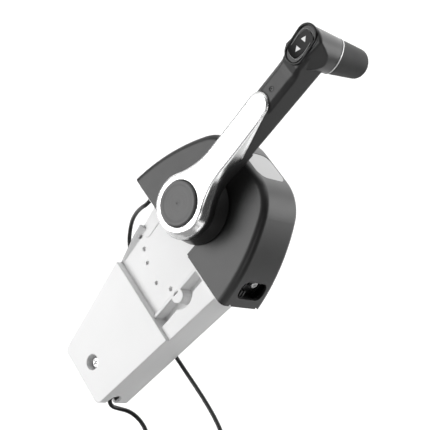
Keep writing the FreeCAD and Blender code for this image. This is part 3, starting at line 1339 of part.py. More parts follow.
def lead_gland():
    """Rubber grommet where the trim lead leaves through the flange."""
    gx, gy = TRIM_ROUTE[0][:2]
    body = Part.makeCylinder(GLAND_R - NEAR, FLANGE_T, V(gx, gy, 0))
    below = Part.makeCone(GLAND_R - 0.6, GLAND_FLANGE_R - 0.4, GLAND_OUT, V(gx, gy, -GLAND_OUT))
    above = Part.makeCylinder(GLAND_FLANGE_R, 1.2, V(gx, gy, FLANGE_T))
    bore = Part.makeCylinder(TRIM_LEAD_D / 2 + NEAR, 20, V(gx, gy, -10))
    return fuse([body, below, above]).cut(bore)


def lead_tube(route, diameter, name):
    """A round tube along straight runs joined by tangent arcs, as large as the runs allow."""
    points = [V(*p) for p in route]
    edges = []
    start = points[0]
    radii = []
    for before, corner, after in zip(points, points[1:], points[2:]):
        come = corner.sub(before)
        go = after.sub(corner)
        turn = come.getAngle(go)
        cut = 0.45 * min(come.Length, go.Length)
        radius = cut / math.tan(turn / 2)
        come.normalize()
        go.normalize()
        enter = corner - come * cut
        leave = corner + go * cut
        inward = go.sub(come)
        inward.normalize()
        centre_gap = radius / math.cos(turn / 2)
        middle = corner + inward * (centre_gap - radius)
        edges.append(line(start, enter))
        edges.append(arc(enter, middle, leave))
        radii.append(radius)
        start = leave
    edges.append(line(start, points[-1]))
    path = Part.Wire(edges)
    direction = points[1].sub(points[0])
    section = Part.Wire(Part.makeCircle(diameter / 2, points[0], direction))
    lead = path.makePipeShell([section], True, True)
    expected = math.pi * diameter ** 2 / 4 * path.Length
    print(name, "length", round(path.Length, 1), "radii", [round(r, 1) for r in radii],
          "volume ratio", round(lead.Volume / expected, 4))
    return lead


def coil_section_r(diameter):
    return diameter * COIL_TURNS_WIDE / 2


def coil_entry(centre, radius, diameter):
    """Where a lead comes down beside its coil, just clear of the ring."""
    reach = radius + coil_section_r(diameter) + diameter / 2 + COIL_GAP
    return (centre[0] + radius, centre[1], centre[2] + math.sqrt(reach ** 2 - radius ** 2))


def lead_coil(centre, radius, diameter):
    """Outer shape of the put-away turns: a ring in a plane across Y."""
    return Part.makeTorus(radius, coil_section_r(diameter), V(*centre), Y_AXIS)


def tail_start(centre, radius, diameter):
    drop = radius + coil_section_r(diameter) + diameter / 2 + COIL_GAP
    return V(centre[0], centre[1], centre[2] - drop)


def lead_tail(centre, radius, diameter):
    """Short straight end of the lead from under the coil to its plug."""
    return Part.makeCylinder(diameter / 2, TAIL_LENGTH, tail_start(centre, radius, diameter), X_AXIS * -1)


def lead_plug(centre, radius, diameter):
    """Moulded connector with a collar and a stepped nose."""
    back = X_AXIS * -1
    start = tail_start(centre, radius, diameter) + back * TAIL_LENGTH
    body = Part.makeCylinder(PLUG_R, PLUG_LENGTH * 0.6, start, back)
    collar = Part.makeCylinder(PLUG_R + 1.0, PLUG_LENGTH * 0.12, start + back * PLUG_LENGTH * 0.3, back)
    nose = Part.makeCylinder(PLUG_R - 1.4, PLUG_LENGTH * 0.4, start + back * PLUG_LENGTH * 0.6, back)
    return fuse([body, collar, nose])


def save(name, pieces):
    """Write one sub-part, or a group of alike ones, to its own file."""
    shapes = pieces if isinstance(pieces, list) else [pieces]
    solids = [s for shape in shapes for s in shape.Solids]
    for solid in solids:
        if not solid.isValid():
            print("INVALID", name)
    shape = solids[0] if len(solids) == 1 else Part.makeCompound(solids)
    shape.exportStep(os.path.join("parts", name + ".step"))
    box_ = shape.BoundBox
    print(name, len(solids), round(shape.Volume, 1), [round(v, 1) for v in (
        box_.XMin, box_.XMax, box_.YMin, box_.YMax, box_.ZMin, box_.ZMax)])


def main():
    os.makedirs("parts", exist_ok=True)
    save("housing_body", housing_body())
    save("rear_plate", rear_plate())
    save("low_screw", low_screw())
    save("rear_screws", rear_screws())
    save("dome_cover", dome_cover())
    save("dome_insert", dome_insert())
    save("end_brackets", [end_bracket(1), end_bracket(-1)])
    save("cover_screws", cover_screws())
    save("front_bush", front_bush())
    save("rear_bush", rear_bush())
    save("shift_axle", shift_axle())
    save("throttle_axle", throttle_axle())
    save("detent_spring", detent_spring())
    save("detent_plug", detent_plug())
    save("neutral_switch", neutral_switch())
    save("micro_screws", micro_screws())
    save("cable_anchor", cable_anchor())
    save("cable_seals", cable_seals())
    save("lead_clips", lead_clips())
    save("clip_screws", clip_screws())
    save("lead_gland", lead_gland())
    save("main_shaft", main_shaft())
    save("shaft_clip", shaft_clip())
    save("drive_gear", drive_gear())
    save("detent_disc", detent_disc())
    save("hub_skirt", hub_skirt())
    save("lever_arm", lever_arm())
    save("chrome_trim", chrome_trim())
    save("lever_bolt", lever_bolt())
    save("grub_screw", grub_screw())
    save("grip_ring", grip_ring())
    save("grip_sleeve", grip_sleeve())
    save("switch_bezel", switch_bezel())
    save("rocker_pin", rocker_pin())
    save("trim_rocker", trim_rocker())
    save("hub_button", hub_button())
    save("button_spring", button_spring())
    save("detent_ball", detent_ball())
    save("neutral_plunger", neutral_plunger())
    save("shift_arm", shift_arm())
    save("shift_cable_pin", cable_pin(shift_axis(), SHIFT_Y))
    save("throttle_arm", throttle_arm())
    save("throttle_cable_pin", cable_pin(throttle_axis(), THROTTLE_Y))
    trim_end = coil_entry(TRIM_COIL_AT, TRIM_COIL_R, TRIM_LEAD_D)
    save("trim_lead", lead_tube(TRIM_ROUTE + (trim_end,), TRIM_LEAD_D, "trim_lead"))
    save("trim_lead_coil", lead_coil(TRIM_COIL_AT, TRIM_COIL_R, TRIM_LEAD_D))
    save("trim_lead_tail", lead_tail(TRIM_COIL_AT, TRIM_COIL_R, TRIM_LEAD_D))
    save("trim_lead_plug", lead_plug(TRIM_COIL_AT, TRIM_COIL_R, TRIM_LEAD_D))
    switch_end = coil_entry(SWITCH_COIL_AT, SWITCH_COIL_R, SWITCH_LEAD_D)
    save("switch_lead", lead_tube(SWITCH_ROUTE + (switch_end,), SWITCH_LEAD_D, "switch_lead"))
    save("switch_lead_coil", lead_coil(SWITCH_COIL_AT, SWITCH_COIL_R, SWITCH_LEAD_D))
    save("switch_lead_tail", lead_tail(SWITCH_COIL_AT, SWITCH_COIL_R, SWITCH_LEAD_D))
    save("switch_lead_plug", lead_plug(SWITCH_COIL_AT, SWITCH_COIL_R, SWITCH_LEAD_D))


if __name__ == "__main__":
    main()
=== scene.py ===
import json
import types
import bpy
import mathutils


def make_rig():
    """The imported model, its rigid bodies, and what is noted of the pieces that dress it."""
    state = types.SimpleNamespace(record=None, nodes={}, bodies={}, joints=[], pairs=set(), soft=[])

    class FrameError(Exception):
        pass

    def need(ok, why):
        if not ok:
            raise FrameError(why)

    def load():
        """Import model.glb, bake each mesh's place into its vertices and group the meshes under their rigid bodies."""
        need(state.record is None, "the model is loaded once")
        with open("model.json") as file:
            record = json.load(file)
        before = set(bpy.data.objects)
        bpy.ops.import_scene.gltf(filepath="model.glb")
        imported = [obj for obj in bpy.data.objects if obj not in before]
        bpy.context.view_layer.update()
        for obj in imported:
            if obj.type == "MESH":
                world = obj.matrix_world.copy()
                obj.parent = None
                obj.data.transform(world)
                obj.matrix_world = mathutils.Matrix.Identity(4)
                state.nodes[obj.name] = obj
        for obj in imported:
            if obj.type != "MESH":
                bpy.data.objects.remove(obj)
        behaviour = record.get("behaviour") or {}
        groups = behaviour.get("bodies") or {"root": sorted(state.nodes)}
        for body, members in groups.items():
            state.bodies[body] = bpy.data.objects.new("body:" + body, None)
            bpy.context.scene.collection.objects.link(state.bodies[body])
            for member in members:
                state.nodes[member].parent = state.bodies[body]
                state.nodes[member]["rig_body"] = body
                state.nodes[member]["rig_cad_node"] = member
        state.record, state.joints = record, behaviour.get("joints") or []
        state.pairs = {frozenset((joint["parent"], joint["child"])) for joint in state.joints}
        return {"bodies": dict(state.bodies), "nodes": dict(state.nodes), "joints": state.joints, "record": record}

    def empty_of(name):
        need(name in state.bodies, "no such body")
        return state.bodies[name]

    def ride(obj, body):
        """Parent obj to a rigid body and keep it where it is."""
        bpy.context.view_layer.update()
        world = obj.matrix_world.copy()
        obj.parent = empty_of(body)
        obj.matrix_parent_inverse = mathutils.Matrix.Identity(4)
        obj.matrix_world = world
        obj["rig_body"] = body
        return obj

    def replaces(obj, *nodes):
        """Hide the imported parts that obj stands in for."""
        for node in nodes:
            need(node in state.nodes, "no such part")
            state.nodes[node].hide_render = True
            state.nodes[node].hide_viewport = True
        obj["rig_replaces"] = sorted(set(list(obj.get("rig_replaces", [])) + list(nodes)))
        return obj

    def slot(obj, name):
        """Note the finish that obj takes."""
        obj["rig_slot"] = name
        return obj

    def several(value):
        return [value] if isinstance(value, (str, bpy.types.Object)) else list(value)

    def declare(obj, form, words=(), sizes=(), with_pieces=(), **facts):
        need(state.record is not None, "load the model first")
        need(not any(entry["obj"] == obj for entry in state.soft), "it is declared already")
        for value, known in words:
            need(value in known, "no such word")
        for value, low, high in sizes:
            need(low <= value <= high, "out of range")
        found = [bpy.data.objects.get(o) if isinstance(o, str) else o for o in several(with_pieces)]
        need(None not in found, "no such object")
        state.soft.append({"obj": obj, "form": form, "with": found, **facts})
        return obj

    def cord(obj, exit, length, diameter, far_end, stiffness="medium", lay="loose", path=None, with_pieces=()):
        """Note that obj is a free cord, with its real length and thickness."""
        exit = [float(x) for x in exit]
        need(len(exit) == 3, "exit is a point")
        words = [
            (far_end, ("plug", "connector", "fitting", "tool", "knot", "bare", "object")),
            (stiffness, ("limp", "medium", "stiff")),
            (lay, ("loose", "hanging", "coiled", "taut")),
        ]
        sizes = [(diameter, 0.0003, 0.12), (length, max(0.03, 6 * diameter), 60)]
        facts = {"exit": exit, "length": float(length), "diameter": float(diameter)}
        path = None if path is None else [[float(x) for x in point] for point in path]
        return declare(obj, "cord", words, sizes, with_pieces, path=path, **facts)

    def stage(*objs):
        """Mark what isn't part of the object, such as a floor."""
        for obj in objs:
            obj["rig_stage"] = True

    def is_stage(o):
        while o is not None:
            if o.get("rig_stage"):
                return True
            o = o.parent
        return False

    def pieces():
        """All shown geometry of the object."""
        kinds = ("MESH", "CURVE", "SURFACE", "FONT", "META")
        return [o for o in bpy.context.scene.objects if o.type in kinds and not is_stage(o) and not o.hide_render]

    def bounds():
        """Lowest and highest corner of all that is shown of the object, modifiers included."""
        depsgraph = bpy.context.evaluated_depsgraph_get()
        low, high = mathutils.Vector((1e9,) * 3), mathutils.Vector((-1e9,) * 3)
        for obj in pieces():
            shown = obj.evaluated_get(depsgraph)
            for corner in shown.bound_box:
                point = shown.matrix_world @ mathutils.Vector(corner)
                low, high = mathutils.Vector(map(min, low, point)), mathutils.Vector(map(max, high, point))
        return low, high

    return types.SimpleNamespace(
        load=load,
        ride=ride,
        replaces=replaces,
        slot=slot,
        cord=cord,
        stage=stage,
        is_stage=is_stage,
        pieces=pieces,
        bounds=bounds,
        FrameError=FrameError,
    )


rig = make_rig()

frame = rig.load()

import json
import math

import bpy
from mathutils import Matrix, Vector

MM = 0.001
cad_box = [list(corner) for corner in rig.bounds()]
nodes = frame["nodes"]
slot_of = {part["node"]: part["material_slot"] for part in frame["record"]["subparts"]}

# Camera: the photograph's place and roll, looking down on the lever's side
# Sensor and lens are in millimetres, and the far clip in metres
CAMERA_AT = Vector((609.36, -895.11, 483.49)) * MM
CAMERA_RIGHT = Vector((0.48904939, 0.63610661, 0.59682416))
CAMERA_DOWN = Vector((0.69722307, 0.12606634, -0.70568213))
CAMERA_AHEAD = Vector((-0.52412851, 0.76123299, -0.38185554))
SENSOR = 36.0
LENS = 107.37
FAR_CLIP = 20.0


def make_camera():
    """The scene's camera, at the photograph's place."""
    data = bpy.data.cameras.new("camera")
    data.sensor_width = SENSOR
    data.lens = LENS
    data.clip_end = FAR_CLIP
    camera = bpy.data.objects.new("camera", data)
    bpy.context.scene.collection.objects.link(camera)
    axes = Matrix((CAMERA_RIGHT, -CAMERA_DOWN, -CAMERA_AHEAD)).transposed().to_4x4()
    camera.matrix_world = Matrix.Translation(CAMERA_AT) @ axes
    bpy.context.scene.camera = camera


# Leads: the same routes as the solids, in millimetres
TRIM_LEAD_D = 4.0
TRIM_ROUTE = ((-60.0, -20.0, 5.5), (-60.0, -20.0, -7.0), (-66.0, -15.5, -16.0), (-73.0, -8.0, -27.5),
              (-79.0, 1.5, -42.0), (-81.0, 11.5, -56.5), (-76.5, 17.6, -69.5), (-59.5, 19.4, -80.0),
              (-25.0, 18.6, -88.0), (5.0, 18.6, -92.0), (35.0, 18.6, -94.6), (65.0, 18.6, -94.2),
              (98.0, 18.6, -93.0), (128.0, 18.6, -93.7), (150.0, 18.6, -98.5), (164.5, 18.6, -107.5),
              (172.0, 18.6, -118.5))
TRIM_COIL_AT = (150.0, 18.6, -151.0)
TRIM_COIL_R = 25.0
SWITCH_LEAD_D = 4.2
SWITCH_ROUTE = ((40.5, -7.5, -153.0), (41.0, -7.5, -166.3), (44.0, 0.5, -175.0), (46.0, 12.0, -176.0),
                (49.5, 21.5, -175.0), (56.5, 27.3, -174.4), (65.5, 30.2, -174.4), (76.0, 31.0, -176.2),
                (86.0, 31.0, -179.8), (94.5, 31.0, -185.6), (100.0, 31.0, -192.8))
SWITCH_COIL_AT = (80.0, 31.0, -219.0)
SWITCH_COIL_R = 22.0
# Coil: control points in a turn, turns, and their reach in radii, since the spline runs inside its points
COIL_POINTS = 12
COIL_TURNS = 2.25
COIL_REACH = 1.026
# Bundle: its radius in cord diameters, and the angles at which the strands lie round its middle
BUNDLE_R = 0.62
STRAND_START = 210.0
STRAND_STEP = 120.0
# Way in beside the turns: how far in front in cord diameters, and how high in coil radii
WAY_IN = ((0.75, 0.84), (0.85, 0.4))
# Tail: length, and how far it lies under the coil's radius: cord diameters and a gap
TAIL_LENGTH = 16.0
TAIL_DROP = 1.6
TAIL_GAP = 0.3
# Its bend: share of the length, cord diameters in front, and height
TAIL_BEND = 0.55
TAIL_BEND_AHEAD = 0.1
TAIL_BEND_UP = 0.5
# Steps of the line between two points, and the tube's bevel resolution
LINE_STEPS = 10
TUBE_RESOLUTION = 5
# Each lead: the stem of its names, diameter, route, and its coil's middle and radius
LEADS = (("trim", TRIM_LEAD_D, TRIM_ROUTE, TRIM_COIL_AT, TRIM_COIL_R),
         ("switch", SWITCH_LEAD_D, SWITCH_ROUTE, SWITCH_COIL_AT, SWITCH_COIL_R))


def make_lead(name, points, diameter):
    """A round cord as a tube, and its line: one smooth spline with given control points."""
    data = bpy.data.curves.new(name + "_route", "CURVE")
    data.dimensions = "3D"
    spline = data.splines.new("NURBS")
    spline.points.add(len(points) - 1)
    for target, point in zip(spline.points, points):
        target.co = (point[0] * MM, point[1] * MM, point[2] * MM, 1.0)
    spline.order_u = 3
    spline.use_endpoint_u = True
    spline.resolution_u = LINE_STEPS
    route = bpy.data.objects.new(name + "_route", data)
    line = bpy.data.meshes.new_from_object(route)
    path = [tuple(vertex.co) for vertex in line.vertices]
    data.bevel_depth = diameter / 2 * MM
    data.bevel_resolution = TUBE_RESOLUTION
    data.use_fill_caps = True
    tube = bpy.data.meshes.new_from_object(route)
    tube.name = name
    for polygon in tube.polygons:
        polygon.use_smooth = True
    lead = bpy.data.objects.new(name, tube)
    bpy.context.scene.collection.objects.link(lead)
    bpy.data.objects.remove(route)
    bpy.data.curves.remove(data)
    return lead, path


def line_length(path):
    """Length of the line that a lead follows, in metres."""
    return sum((Vector(a) - Vector(b)).length for a, b in zip(path, path[1:]))


def wound(centre, radius, diameter):
    """Control points of the turns: each pass lies a third of the way round the bundle from the last."""
    bundle = diameter * BUNDLE_R
    points = []
    for k in range(round(COIL_POINTS * COIL_TURNS) + 1):
        turn = k / COIL_POINTS
        angle = -2 * math.pi * turn
        around = math.radians(STRAND_START + STRAND_STEP * turn)
        reach = radius * COIL_REACH + bundle * math.sin(around)
        points.append((centre[0] + reach * math.cos(angle), centre[1] + bundle * math.cos(around),
                       centre[2] + reach * math.sin(angle)))
    return points


def lead_points(route, centre, radius, diameter):
    """The whole control polygon: route, way in beside the turns, turns and the straight tail."""
    x, y, z = centre
    way_in = [(x + radius, y - diameter * ahead, z + radius * up) for ahead, up in WAY_IN]
    tail_z = z - radius - diameter * TAIL_DROP - TAIL_GAP
    tail = [(x - TAIL_LENGTH * TAIL_BEND, y - diameter * TAIL_BEND_AHEAD, tail_z + TAIL_BEND_UP),
            (x - TAIL_LENGTH, y, tail_z)]
    return list(route) + way_in + wound(centre, radius, diameter) + tail


make_camera()
cords = []
for stem, diameter, route, coil_at, coil_r in LEADS:
    cord, path = make_lead(stem + "_cord", lead_points(route, coil_at, coil_r, diameter), diameter)
    lead = stem + "_lead"
    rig.ride(cord, "housing")
    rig.replaces(cord, lead, lead + "_coil", lead + "_tail")
    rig.slot(cord, "lead_black")
    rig.cord(cord, exit=path[0], length=line_length(path), diameter=diameter * MM, path=path,
            far_end="connector", stiffness="limp", lay="hanging", with_pieces=[nodes[lead + "_plug"]])
    cords.append(cord)

# Materials: cloudy tones, uneven gloss and fine relief. Scales count over a metre, depths are in metres
CLOUD_SCALE = 14.0
CLOUD_DETAIL = 4.0
WEAR_SCALE = 98.0
WEAR_DETAIL = 5.0
WEAR_ROUGH = 0.6
GRAIN_DETAIL = 2.0
EDGE_SAMPLES = 8
# Machined metal: scale and detail of its marks, how they lie, spread of tone and gloss, and relief
MARKS_SCALE = 90.0
MARKS_DETAIL = 4.0
MARKS_ACROSS_X = (40.0, 1.0, 1.0)
MARKS_ACROSS_Y = (1.0, 40.0, 1.0)
MARKS_TONE = 0.05
MARKS_GLOSS = 0.07
MARKS_STRENGTH = 0.15
MARKS_DEPTH = 0.00001


def shader(name):
    """A new material with its node tree, main shader and a texture place in object units."""
    material = bpy.data.materials.new(name)
    material.use_nodes = True
    tree = material.node_tree
    bsdf = tree.nodes["Principled BSDF"]
    place = tree.nodes.new("ShaderNodeTexCoord")
    return material, tree, bsdf, place


def combine(tree, first, second, operation="ADD"):
    """Join two values, each a node's output or a plain number, by one sum or product."""
    node = tree.nodes.new("ShaderNodeMath")
    node.operation = operation
    for socket, source in zip(node.inputs, (first, second)):
        if isinstance(source, float):
            socket.default_value = source
        else:
            tree.links.new(source, socket)
    return node.outputs[0]


def noise(tree, place, scale, detail, rough=0.55):
    """A noise texture fixed to the object."""
    texture = tree.nodes.new("ShaderNodeTexNoise")
    texture.inputs["Scale"].default_value = scale
    texture.inputs["Detail"].default_value = detail
    texture.inputs["Roughness"].default_value = rough
    tree.links.new(place.outputs["Object"], texture.inputs["Vector"])
    return texture


def ramp(tree, source, low, high, low_at=0.35, high_at=0.65):
    """Turn a texture's value into a colour between two ends."""
    band = tree.nodes.new("ShaderNodeValToRGB")
    band.color_ramp.elements[0].position = low_at
    band.color_ramp.elements[1].position = high_at
    band.color_ramp.elements[0].color = (*low, 1.0)
    band.color_ramp.elements[1].color = (*high, 1.0)
    tree.links.new(source, band.inputs["Fac"])
    return band.outputs["Color"]


def value_map(tree, source, low, high):
    """Turn a texture's value from 0 to 1 into a number between two ends."""
    span = tree.nodes.new("ShaderNodeMapRange")
    span.inputs["To Min"].default_value = low
    span.inputs["To Max"].default_value = high
    tree.links.new(source, span.inputs["Value"])
    return span.outputs["Result"]


def bump(tree, bsdf, source, strength, distance, edge=0.0):
    """Fine relief from a texture, over edges that look softly rounded by a radius in metres."""
    node = tree.nodes.new("ShaderNodeBump")
    if edge:
        rounding = tree.nodes.new("ShaderNodeBevel")
        rounding.samples = EDGE_SAMPLES
        rounding.inputs["Radius"].default_value = edge
        tree.links.new(rounding.outputs["Normal"], node.inputs["Normal"])
    node.inputs["Strength"].default_value = strength
    node.inputs["Distance"].default_value = distance
    tree.links.new(source, node.inputs["Height"])
    tree.links.new(node.outputs["Normal"], bsdf.inputs["Normal"])


def shade(value, spread):
    """Two near tones round one, from a grey value or a colour."""
    tone = value if isinstance(value, tuple) else (value, value, value)
    return tuple(max(0.0, c - spread) for c in tone), tuple(min(1.0, c + spread) for c in tone)


def surface(name, tone, spread, rough, rough_spread, metallic=0.0, grain=900.0, grain_depth=0.00002,
            grain_strength=0.3, specular=0.5, edge=0.0):
    """A moulded, painted or metal surface: cloudy tone, uneven gloss and a fine grain."""
    material, tree, bsdf, place = shader(name)
    low, high = shade(tone, spread)
    clouds = noise(tree, place, CLOUD_SCALE, CLOUD_DETAIL)
    tree.links.new(ramp(tree, clouds.outputs["Fac"], low, high), bsdf.inputs["Base Color"])
    worn = noise(tree, place, WEAR_SCALE, WEAR_DETAIL, WEAR_ROUGH)
    tree.links.new(value_map(tree, worn.outputs["Fac"], rough - rough_spread, rough + rough_spread),
                   bsdf.inputs["Roughness"])
    bsdf.inputs["Metallic"].default_value = metallic
    bsdf.inputs["Specular IOR Level"].default_value = specular
    fine = noise(tree, place, grain, GRAIN_DETAIL)
    bump(tree, bsdf, fine.outputs["Fac"], grain_strength, grain_depth, edge)
    return material


def turned_metal(name, tone, rough, stretch=MARKS_ACROSS_Y):
    """Machined metal with fine marks across one axis, as a tool leaves them round a shaft."""
    material, tree, bsdf, place = shader(name)
    mapping = tree.nodes.new("ShaderNodeMapping")
    mapping.inputs["Scale"].default_value = stretch
    tree.links.new(place.outputs["Object"], mapping.inputs["Vector"])
    marks = tree.nodes.new("ShaderNodeTexNoise")
    marks.inputs["Scale"].default_value = MARKS_SCALE
    marks.inputs["Detail"].default_value = MARKS_DETAIL
    tree.links.new(mapping.outputs["Vector"], marks.inputs["Vector"])
    low, high = shade(tone, MARKS_TONE)
    tree.links.new(ramp(tree, marks.outputs["Fac"], low, high), bsdf.inputs["Base Color"])
    tree.links.new(value_map(tree, marks.outputs["Fac"], rough - MARKS_GLOSS, rough + MARKS_GLOSS),
                   bsdf.inputs["Roughness"])
    bsdf.inputs["Metallic"].default_value = 1.0
    bump(tree, bsdf, marks.outputs["Fac"], MARKS_STRENGTH, MARKS_DEPTH)
    return material


looks = {
    "cast_silver": surface("silver_casting", 0.80, 0.012, 0.46, 0.05, grain=1400.0, edge=2.0 * MM),
    "plate_silver": surface("silver_plate", 0.78, 0.012, 0.45, 0.05, grain=1400.0),
    "cover_black": surface("cover_moulding", 0.013, 0.003, 0.38, 0.04, grain=900.0, grain_depth=0.00006,
                           grain_strength=0.5, edge=0.6 * MM),
    "insert_grey": surface("insert_panel", 0.42, 0.01, 0.42, 0.04, grain=1200.0),
    "bracket_black": surface("bracket_moulding", 0.008, 0.002, 0.40, 0.05),
    "bush_plastic": surface("bush_acetal", 0.75, 0.02, 0.45, 0.05),
    "switch_body": surface("switch_case", 0.03, 0.005, 0.45, 0.05),
    "seal_rubber": surface("seal_rubber", 0.015, 0.004, 0.65, 0.06),
    "clip_plastic": surface("clip_nylon", 0.02, 0.004, 0.5, 0.05),
    "gland_rubber": surface("gland_rubber", 0.015, 0.004, 0.65, 0.06),
    "lead_black": surface("lead_jacket", 0.004, 0.001, 0.30, 0.05, grain=700.0, specular=0.35),
    "plug_black": surface("connector_moulding", 0.02, 0.004, 0.32, 0.04),
    "skirt_black": surface("skirt_moulding", 0.022, 0.002, 0.34, 0.04),
    "arm_black": surface("arm_coat", 0.012, 0.003, 0.36, 0.05, specular=0.42, grain=1800.0,
                         grain_strength=0.4, edge=2.6 * MM),
    "trim_chrome": surface("trim_plating", 0.90, 0.01, 0.19, 0.03, metallic=1.0, grain=300.0,
                           grain_depth=0.000004, grain_strength=0.15, edge=4.5 * MM),
    "ring_light": surface("ring_satin", 0.65, 0.02, 0.35, 0.05, metallic=0.3),
    "grip_black": surface("grip_soft", 0.033, 0.004, 0.60, 0.06, grain=2200.0, grain_strength=0.6,
                          specular=0.22),
    "bezel_black": surface("bezel_gloss", 0.003, 0.001, 0.16, 0.04, specular=0.3),
    "button_rubber": surface("button_satin", 0.100, 0.006, 0.52, 0.05, grain=1500.0),
    "rocker_black": surface("rocker_satin", 0.004, 0.001, 0.24, 0.05, specular=0.12),
    "mark_white": surface("mark_white", 0.80, 0.02, 0.45, 0.05),
    # Grey tone of the well lip round the rocker: a painted highlight, a light line along its edge
    "lip_grey": surface("lip_painted_highlight", 0.22, 0.01, 0.25, 0.05),
    "plunger_plastic": surface("plunger_red", (0.5, 0.03, 0.02), 0.02, 0.4, 0.05),
    "plug_brass": turned_metal("plug_brass", (0.70, 0.52, 0.22), 0.3),
    "steel_screw": turned_metal("screw_steel", 0.62, 0.28),
    "axle_steel": turned_metal("axle_steel", 0.55, 0.3),
    "spring_steel": turned_metal("spring_steel", 0.45, 0.3),
    "anchor_steel": turned_metal("anchor_steel", 0.5, 0.4, MARKS_ACROSS_X),
    "shaft_steel": turned_metal("shaft_steel", 0.58, 0.25),
    "clip_steel": turned_metal("clip_steel", 0.25, 0.35),
    "gear_steel": turned_metal("gear_steel", 0.45, 0.4),
    "disc_steel": turned_metal("disc_steel", 0.5, 0.35),
    "grub_steel": turned_metal("grub_steel", 0.10, 0.4),
    "pin_steel": turned_metal("pin_steel", 0.55, 0.3),
    "ball_steel": turned_metal("ball_steel", 0.7, 0.15),
    "arm_steel": turned_metal("lever_steel", 0.5, 0.4),
}

for name, node in nodes.items():
    node.data.materials.clear()
    node.data.materials.append(looks[slot_of[name]])
for cord in cords:
    cord.data.materials.append(looks["lead_black"])

# Button on the shaft's axis: a cup with a soft edge, its front and open back along Y
SHAFT_X = -5.0
SHAFT_Z = 40.5
BUTTON_FRONT_Y = -59.6
BUTTON_BACK_Y = -54.0
BUTTON_R = 20.2
BUTTON_EDGE_R = 1.1
BUTTON_EDGE_POINTS = 7
BUTTON_STEPS = 96
BUTTON_LIP_R = 21.3
BUTTON_LIP_Y = -55.6
BUTTON_INNER_R = 18.2
BUTTON_FACE_T = 2.0
# Its sunk face: radius, depth, and how far the slope's foot and top are from that radius
FACE_R = 16.6
FACE_DEPTH = 0.22
FACE_FOOT = 0.3
FACE_TOP = 0.1
# Low rings on the face: radii, height, and half the width of foot and top
RING_RADII = (7.4, 10.4, 13.4)
RING_HEIGHT = 0.10
RING_FOOT = 1.0
RING_TOP = 0.4
# Pip in the middle: where its turned top begins, the radii of top, side and foot, height and side's depth
PIP_START_R = 0.05
PIP_TOP_R = 2.04
PIP_SIDE_R = 3.06
PIP_FOOT_R = 3.74
PIP_HEIGHT = 0.30
PIP_SIDE_DEPTH = 0.132

# Switch in the head: its place and tilt, the openings of surround and well (height, width), and their lips
SWITCH_AT = Vector((-7.0, 0.0, 222.2))
SWITCH_TILT = 8.0
BEZEL_SIZE = (35.4, 20.6)
BEZEL_CORNER_R = 9.5
BEZEL_LIP_Y = -64.8
BEZEL_LIP_R = 1.25
WELL_SIZE = (26.4, 15.4)
WELL_CORNER_R = 5.7
WELL_LIP_Y = -65.1
WELL_LIP_R = 0.35
CORNER_STEPS = 8
LIP_RESOLUTION = 4
# Rocker's hollow face: level at its ends, half its height, and how deep it is in the middle
ROCKER_Y = -66.0
ROCKER_HALF = 12.7
ROCKER_SAG = 0.9
# Triangles on it: size, distance from its middle, thickness each way, rows and half the tip's width
TRIANGLE_HEIGHT = 4.6
TRIANGLE_WIDTH = 5.6
TRIANGLE_Z = 5.6
TRIANGLE_T = 0.12
TRIANGLE_ROWS = 6
TRIANGLE_TIP = 0.05
# Ties round the turns: width, thickness, inner radius in cord diameters, edge share, and angles on the coil
TIE_WIDTH = 3.4
TIE_T = 0.8
TIE_INNER_R = 1.14
TIE_EDGE = 0.7
TIE_STEPS = 40
TIE_ANGLES = (130.0, 310.0)


def new_piece(name, vertices, faces, look, smooth=True):
    """A mesh piece from points in millimetres."""
    mesh = bpy.data.meshes.new(name)
    mesh.from_pydata([Vector(v) * MM for v in vertices], [], faces)
    mesh.validate()
    for polygon in mesh.polygons:
        polygon.use_smooth = smooth
    mesh.materials.append(looks[look])
    piece = bpy.data.objects.new(name, mesh)
    bpy.context.scene.collection.objects.link(piece)
    return piece


def turned(name, outline, place, look, steps):
    """Turn a closed outline of (radius, height) points: place maps radius, height and angle to a point."""
    count = len(outline)
    vertices = [place(r, h, 2 * math.pi * k / steps) for k in range(steps) for r, h in outline]
    faces = []
    for k in range(steps):
        near, far = k * count, (k + 1) % steps * count
        for i in range(count):
            j = (i + 1) % count
            faces.append((near + i, near + j, far + j, far + i))
    return new_piece(name, vertices, faces, look)


def button_outline():
    """Half section of the button: pip, low rings on the sunk face, soft edge, lip and hollow back."""
    face_y = BUTTON_FRONT_Y + FACE_DEPTH
    inside_y = BUTTON_FRONT_Y + BUTTON_FACE_T
    outline = [(PIP_START_R, face_y - PIP_HEIGHT), (PIP_TOP_R, face_y - PIP_HEIGHT),
               (PIP_SIDE_R, BUTTON_FRONT_Y + PIP_SIDE_DEPTH), (PIP_FOOT_R, face_y)]
    for radius in RING_RADII:
        outline += [(radius - RING_FOOT, face_y), (radius - RING_TOP, face_y - RING_HEIGHT),
                    (radius + RING_TOP, face_y - RING_HEIGHT), (radius + RING_FOOT, face_y)]
    outline += [(FACE_R - FACE_FOOT, face_y), (FACE_R + FACE_TOP, BUTTON_FRONT_Y)]
    for k in range(BUTTON_EDGE_POINTS):
        angle = math.pi / 2 * k / (BUTTON_EDGE_POINTS - 1)
        outline.append((BUTTON_R - BUTTON_EDGE_R + BUTTON_EDGE_R * math.sin(angle),
                        BUTTON_FRONT_Y + BUTTON_EDGE_R - BUTTON_EDGE_R * math.cos(angle)))
    outline += [(BUTTON_R, BUTTON_LIP_Y), (BUTTON_LIP_R, BUTTON_LIP_Y), (BUTTON_LIP_R, BUTTON_BACK_Y),
                (BUTTON_INNER_R, BUTTON_BACK_Y), (BUTTON_INNER_R, inside_y), (PIP_START_R, inside_y)]
    return outline


